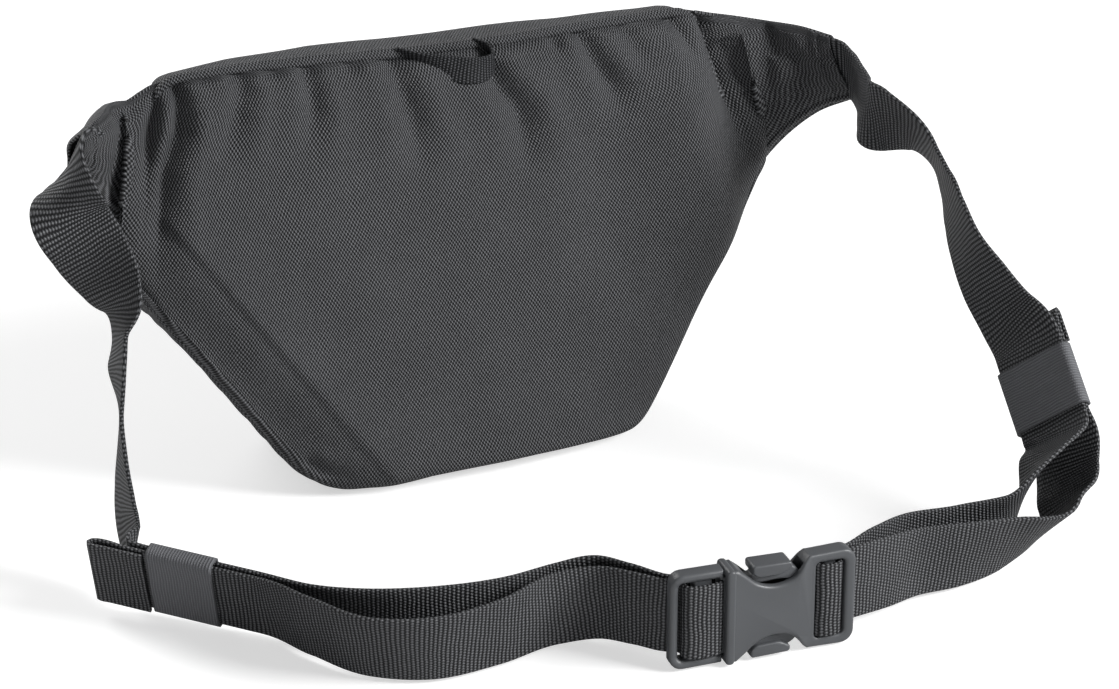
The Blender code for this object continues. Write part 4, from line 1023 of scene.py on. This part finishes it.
# elastic keepers that hold the tails
keeper = dict(length=22.0, wall=0.85, halfWidth=12.65, halfThick=2.15)
for side, middle, along, across, inward in (("left", *leftRun), ("right", *rightRun)):
    wide = keeper["halfWidth"] + keeper["wall"]
    deep = keeper["halfThick"] + keeper["wall"]
    loop = softCorners(rectangle(-wide, wide, deep), [1.9] * 4, 5)
    loop = np.array(loop + loop[:1])
    loopRun = runAlong(loop)

    def keeperPlace(u, v, middle=middle, along=along, across=across, inward=inward):
        run = u * loopRun[-1]
        a, b = alongLine(run, loopRun, loop).T
        lengthwise = (v - 0.5) * keeper["length"]
        dip = 0.30 * np.clip(1 - (a / keeper["halfWidth"]) ** 2, 0, 1) * np.sign(b) * (1 - (2 * v - 1) ** 2)
        b = b - dip
        spot = (np.array(middle)[None, :] + np.outer(a, across) + np.outer(b, inward) + np.outer(lengthwise, along))
        return spot, stacked(run, lengthwise)

    band = softGrid(side + "Keeper", 96, 20, keeperPlace, weld=True)
    apply(band, "SOLIDIFY", thickness=keeper["wall"] * 0.001 * 0.9, offset=-1.0)
    # the keepers' elastic is painted paler as painted light for the floor's bounce
    dress(band, side + "_keeper", [keeperElasticPaintedBounce], "elastic", side + "_keeper")
print("stage: keepers")


# side release buckle, drawn about its own middle: x along the belt, z across it, y through it
buckleWorld = Matrix.Translation(at(*buckle["at"])) @ Matrix.Rotation(buckle["yaw"], 4, "Z") @ metres


def mouldedPlate(name, loops, half, edge, steps=4):
    # a flat outline with rounded edges, made a mesh and stood upright in the buckle's own millimetres
    outline = bpy.data.curves.new(name, "CURVE")
    outline.dimensions = "2D"
    outline.fill_mode = "BOTH"
    outline.extrude = half - edge
    outline.bevel_depth = edge
    outline.bevel_resolution = steps
    outline.offset = -edge
    for loop in loops:
        line = outline.splines.new("POLY")
        line.points.add(len(loop) - 1)
        line.use_cyclic_u = True
        for knot, (x, z) in zip(line.points, loop):
            knot.co = (x, z, 0.0, 1.0)
    ob = bpy.data.objects.new(name, outline)
    bpy.context.scene.collection.objects.link(ob)
    alone(ob)
    bpy.ops.object.convert(target="MESH")
    ob = bpy.context.object
    ob.data.transform(Matrix.Rotation(pi / 2, 4, "X"))
    return tidyMesh(ob, 1e-4)


def softPlate(name, corners, cuts, half, edge, steps=3):  # a moulded plate with arcs at its corners
    return mouldedPlate(name, [softCorners(corners, cuts, steps)], half, edge)


def joined(first, *others):            # several shapes into one piece
    alone(first)
    for ob in others:
        ob.select_set(True)
    bpy.ops.object.join()
    return first


def carved(ob, tool, operation="DIFFERENCE"):
    apply(ob, "BOOLEAN", object=tool, operation=operation, solver="EXACT")
    bpy.data.objects.remove(tool, do_unlink=True)
    return ob


def finishBuckle(ob, body, cadNode):
    ob.data.transform(buckleWorld)
    smoothBy(ob, 38)
    return dress(ob, body, [acetal], "buckle_plastic", cadNode)


def mirroredLoop(upper):               # closes an outline given from left to right along its upper half
    return upper + [(x, -z) for x, z in reversed(upper)]


notchWay = np.array([(-9.2, 15.7), (-6.6, 13.6), (-2.6, 10.2), (1.0, 8.8), (5.4, 8.7), (8.9, 9.8), (11.4, 12.2),
                     (13.2, 14.6), (14.6, 15.9)])
notchRun = runAlong(notchWay)
notch = [tuple(p) for p in curveThrough(notchRun, notchWay, np.linspace(0, notchRun[-1], 26))]
bend = buckle["corner"]
corner = [(buckle["half"] - bend + bend * sin(a), buckle["tall"] - bend + bend * cos(a))
          for a in np.linspace(0, pi / 2, 8)]
leftEnd = [(-11.5, 0.01), (-11.7, 5.0), (-12.2, 10.0), (-12.5, 13.6), (-12.3, 14.8), (-11.4, 15.6)]
faceLoop = mirroredLoop(leftEnd + notch + corner + [(buckle["half"], 0.01)])
webSlot = softCorners([(16.9, -13.0), (16.9, 13.0), (26.6, 13.0), (26.6, -13.0)], [1.4] * 4, 4)
female = mouldedPlate("buckleFemale", [faceLoop, webSlot], half=4.7, edge=1.25)
for cutAt in (11.0, 15.5):
    edited(female, (bpy.ops.mesh.bisect, dict(plane_co=(cutAt, 0, 0), plane_no=(1, 0, 0))))
for corner in female.data.vertices:    # the frame end is thinner than the housing
    corner.co.y *= 1 - 0.34 * float(ramp(corner.co.x, 11.0, 15.6))
carved(female, softPlate("collar", rectangle(-12.8, -9.9, 16.1), [1.2] * 4, half=5.1, edge=0.9, steps=4), "UNION")
bpy.ops.mesh.primitive_cube_add(size=1.0, location=(0.4, 0, 0))
hollow = bpy.context.object
hollow.data.transform(Matrix.Diagonal((26.8, 5.4, 27.8, 1.0)))
carved(female, hollow)
joined(female, softPlate("bar", rectangle(19.6, 23.9, 14.0), [0.8] * 4, half=1.6, edge=0.9))
apply(female, "BEVEL", width=0.22, segments=2, limit_method="ANGLE", angle_limit=radians(60), harden_normals=False)
finishBuckle(female, "bag", "buckle_female")

frameLoop = softCorners([(-30.0, 16.2), (-13.1, 16.0), (-13.1, 13.1), (-27.3, 13.1), (-27.3, -13.1), (-13.1, -13.1),
                         (-13.1, -16.0), (-30.0, -16.2)], [4.0, 0.6, 0.4, 1.4, 1.4, 0.4, 0.6, 4.0], 5)
male = mouldedPlate("buckleMale", [frameLoop], half=2.85, edge=1.3, steps=5)
for corner in male.data.vertices:      # the end bar is slimmer than the two side rails
    slim = fall(abs(corner.co.z), 11.0, 15.0) * fall(corner.co.x, -27.0, -24.0)
    corner.co.y *= 1 - 0.4 * float(slim)
neck = softPlate("neck", [(-14.2, -13.4), (-9.2, -12.4), (-9.2, 12.4), (-14.2, 13.4)], [0.6] * 4, half=2.1, edge=0.6)
tongueCorners = [(-10.0, -4.0), (8.0, -3.4), (8.0, 3.4), (-10.0, 4.0)]
tongue = softPlate("tongue", tongueCorners, [0.8, 1.6, 1.6, 0.8], half=2.0, edge=0.8, steps=4)
bar = softPlate("bar", rectangle(-22.6, -16.4, 14.0), [0.8] * 4, half=1.6, edge=0.9)
joined(male, neck, tongue, bar)
finishBuckle(male, "buckle_male", "buckle_male")

prong = dict(arm=[(-11.6, 8.4), (-3.0, 9.0), (5.0, 9.4), (11.2, 8.4), (12.2, 10.6), (9.6, 13.6), (2.0, 14.4),
                  (-3.4, 13.4), (-3.8, 12.2), (-11.6, 11.6)],
             armCuts=[0.4, 0.0, 1.0, 1.2, 1.2, 2.0, 2.0, 0.5, 0.4, 0.4],
             pad=[(-4.0, 13.0), (-2.2, 11.7), (5.2, 11.5), (9.0, 13.6), (8.6, 15.5), (-4.2, 15.8)],
             padCuts=[0.8, 0.8, 1.2, 0.9, 0.9, 1.0])
for side, sign in (("upper", 1.0), ("lower", -1.0)):
    armLoop, padLoop = [[(x, z * sign) for x, z in prong[k]] for k in ("arm", "pad")]
    arm = softPlate(side + "Prong", armLoop, prong["armCuts"], half=2.2, edge=0.8, steps=4)
    joined(arm, softPlate("pad", padLoop, prong["padCuts"], half=3.7, edge=0.7, steps=4))
    finishBuckle(arm, side + "_prong", side + "_prong")
print("stage: buckle")
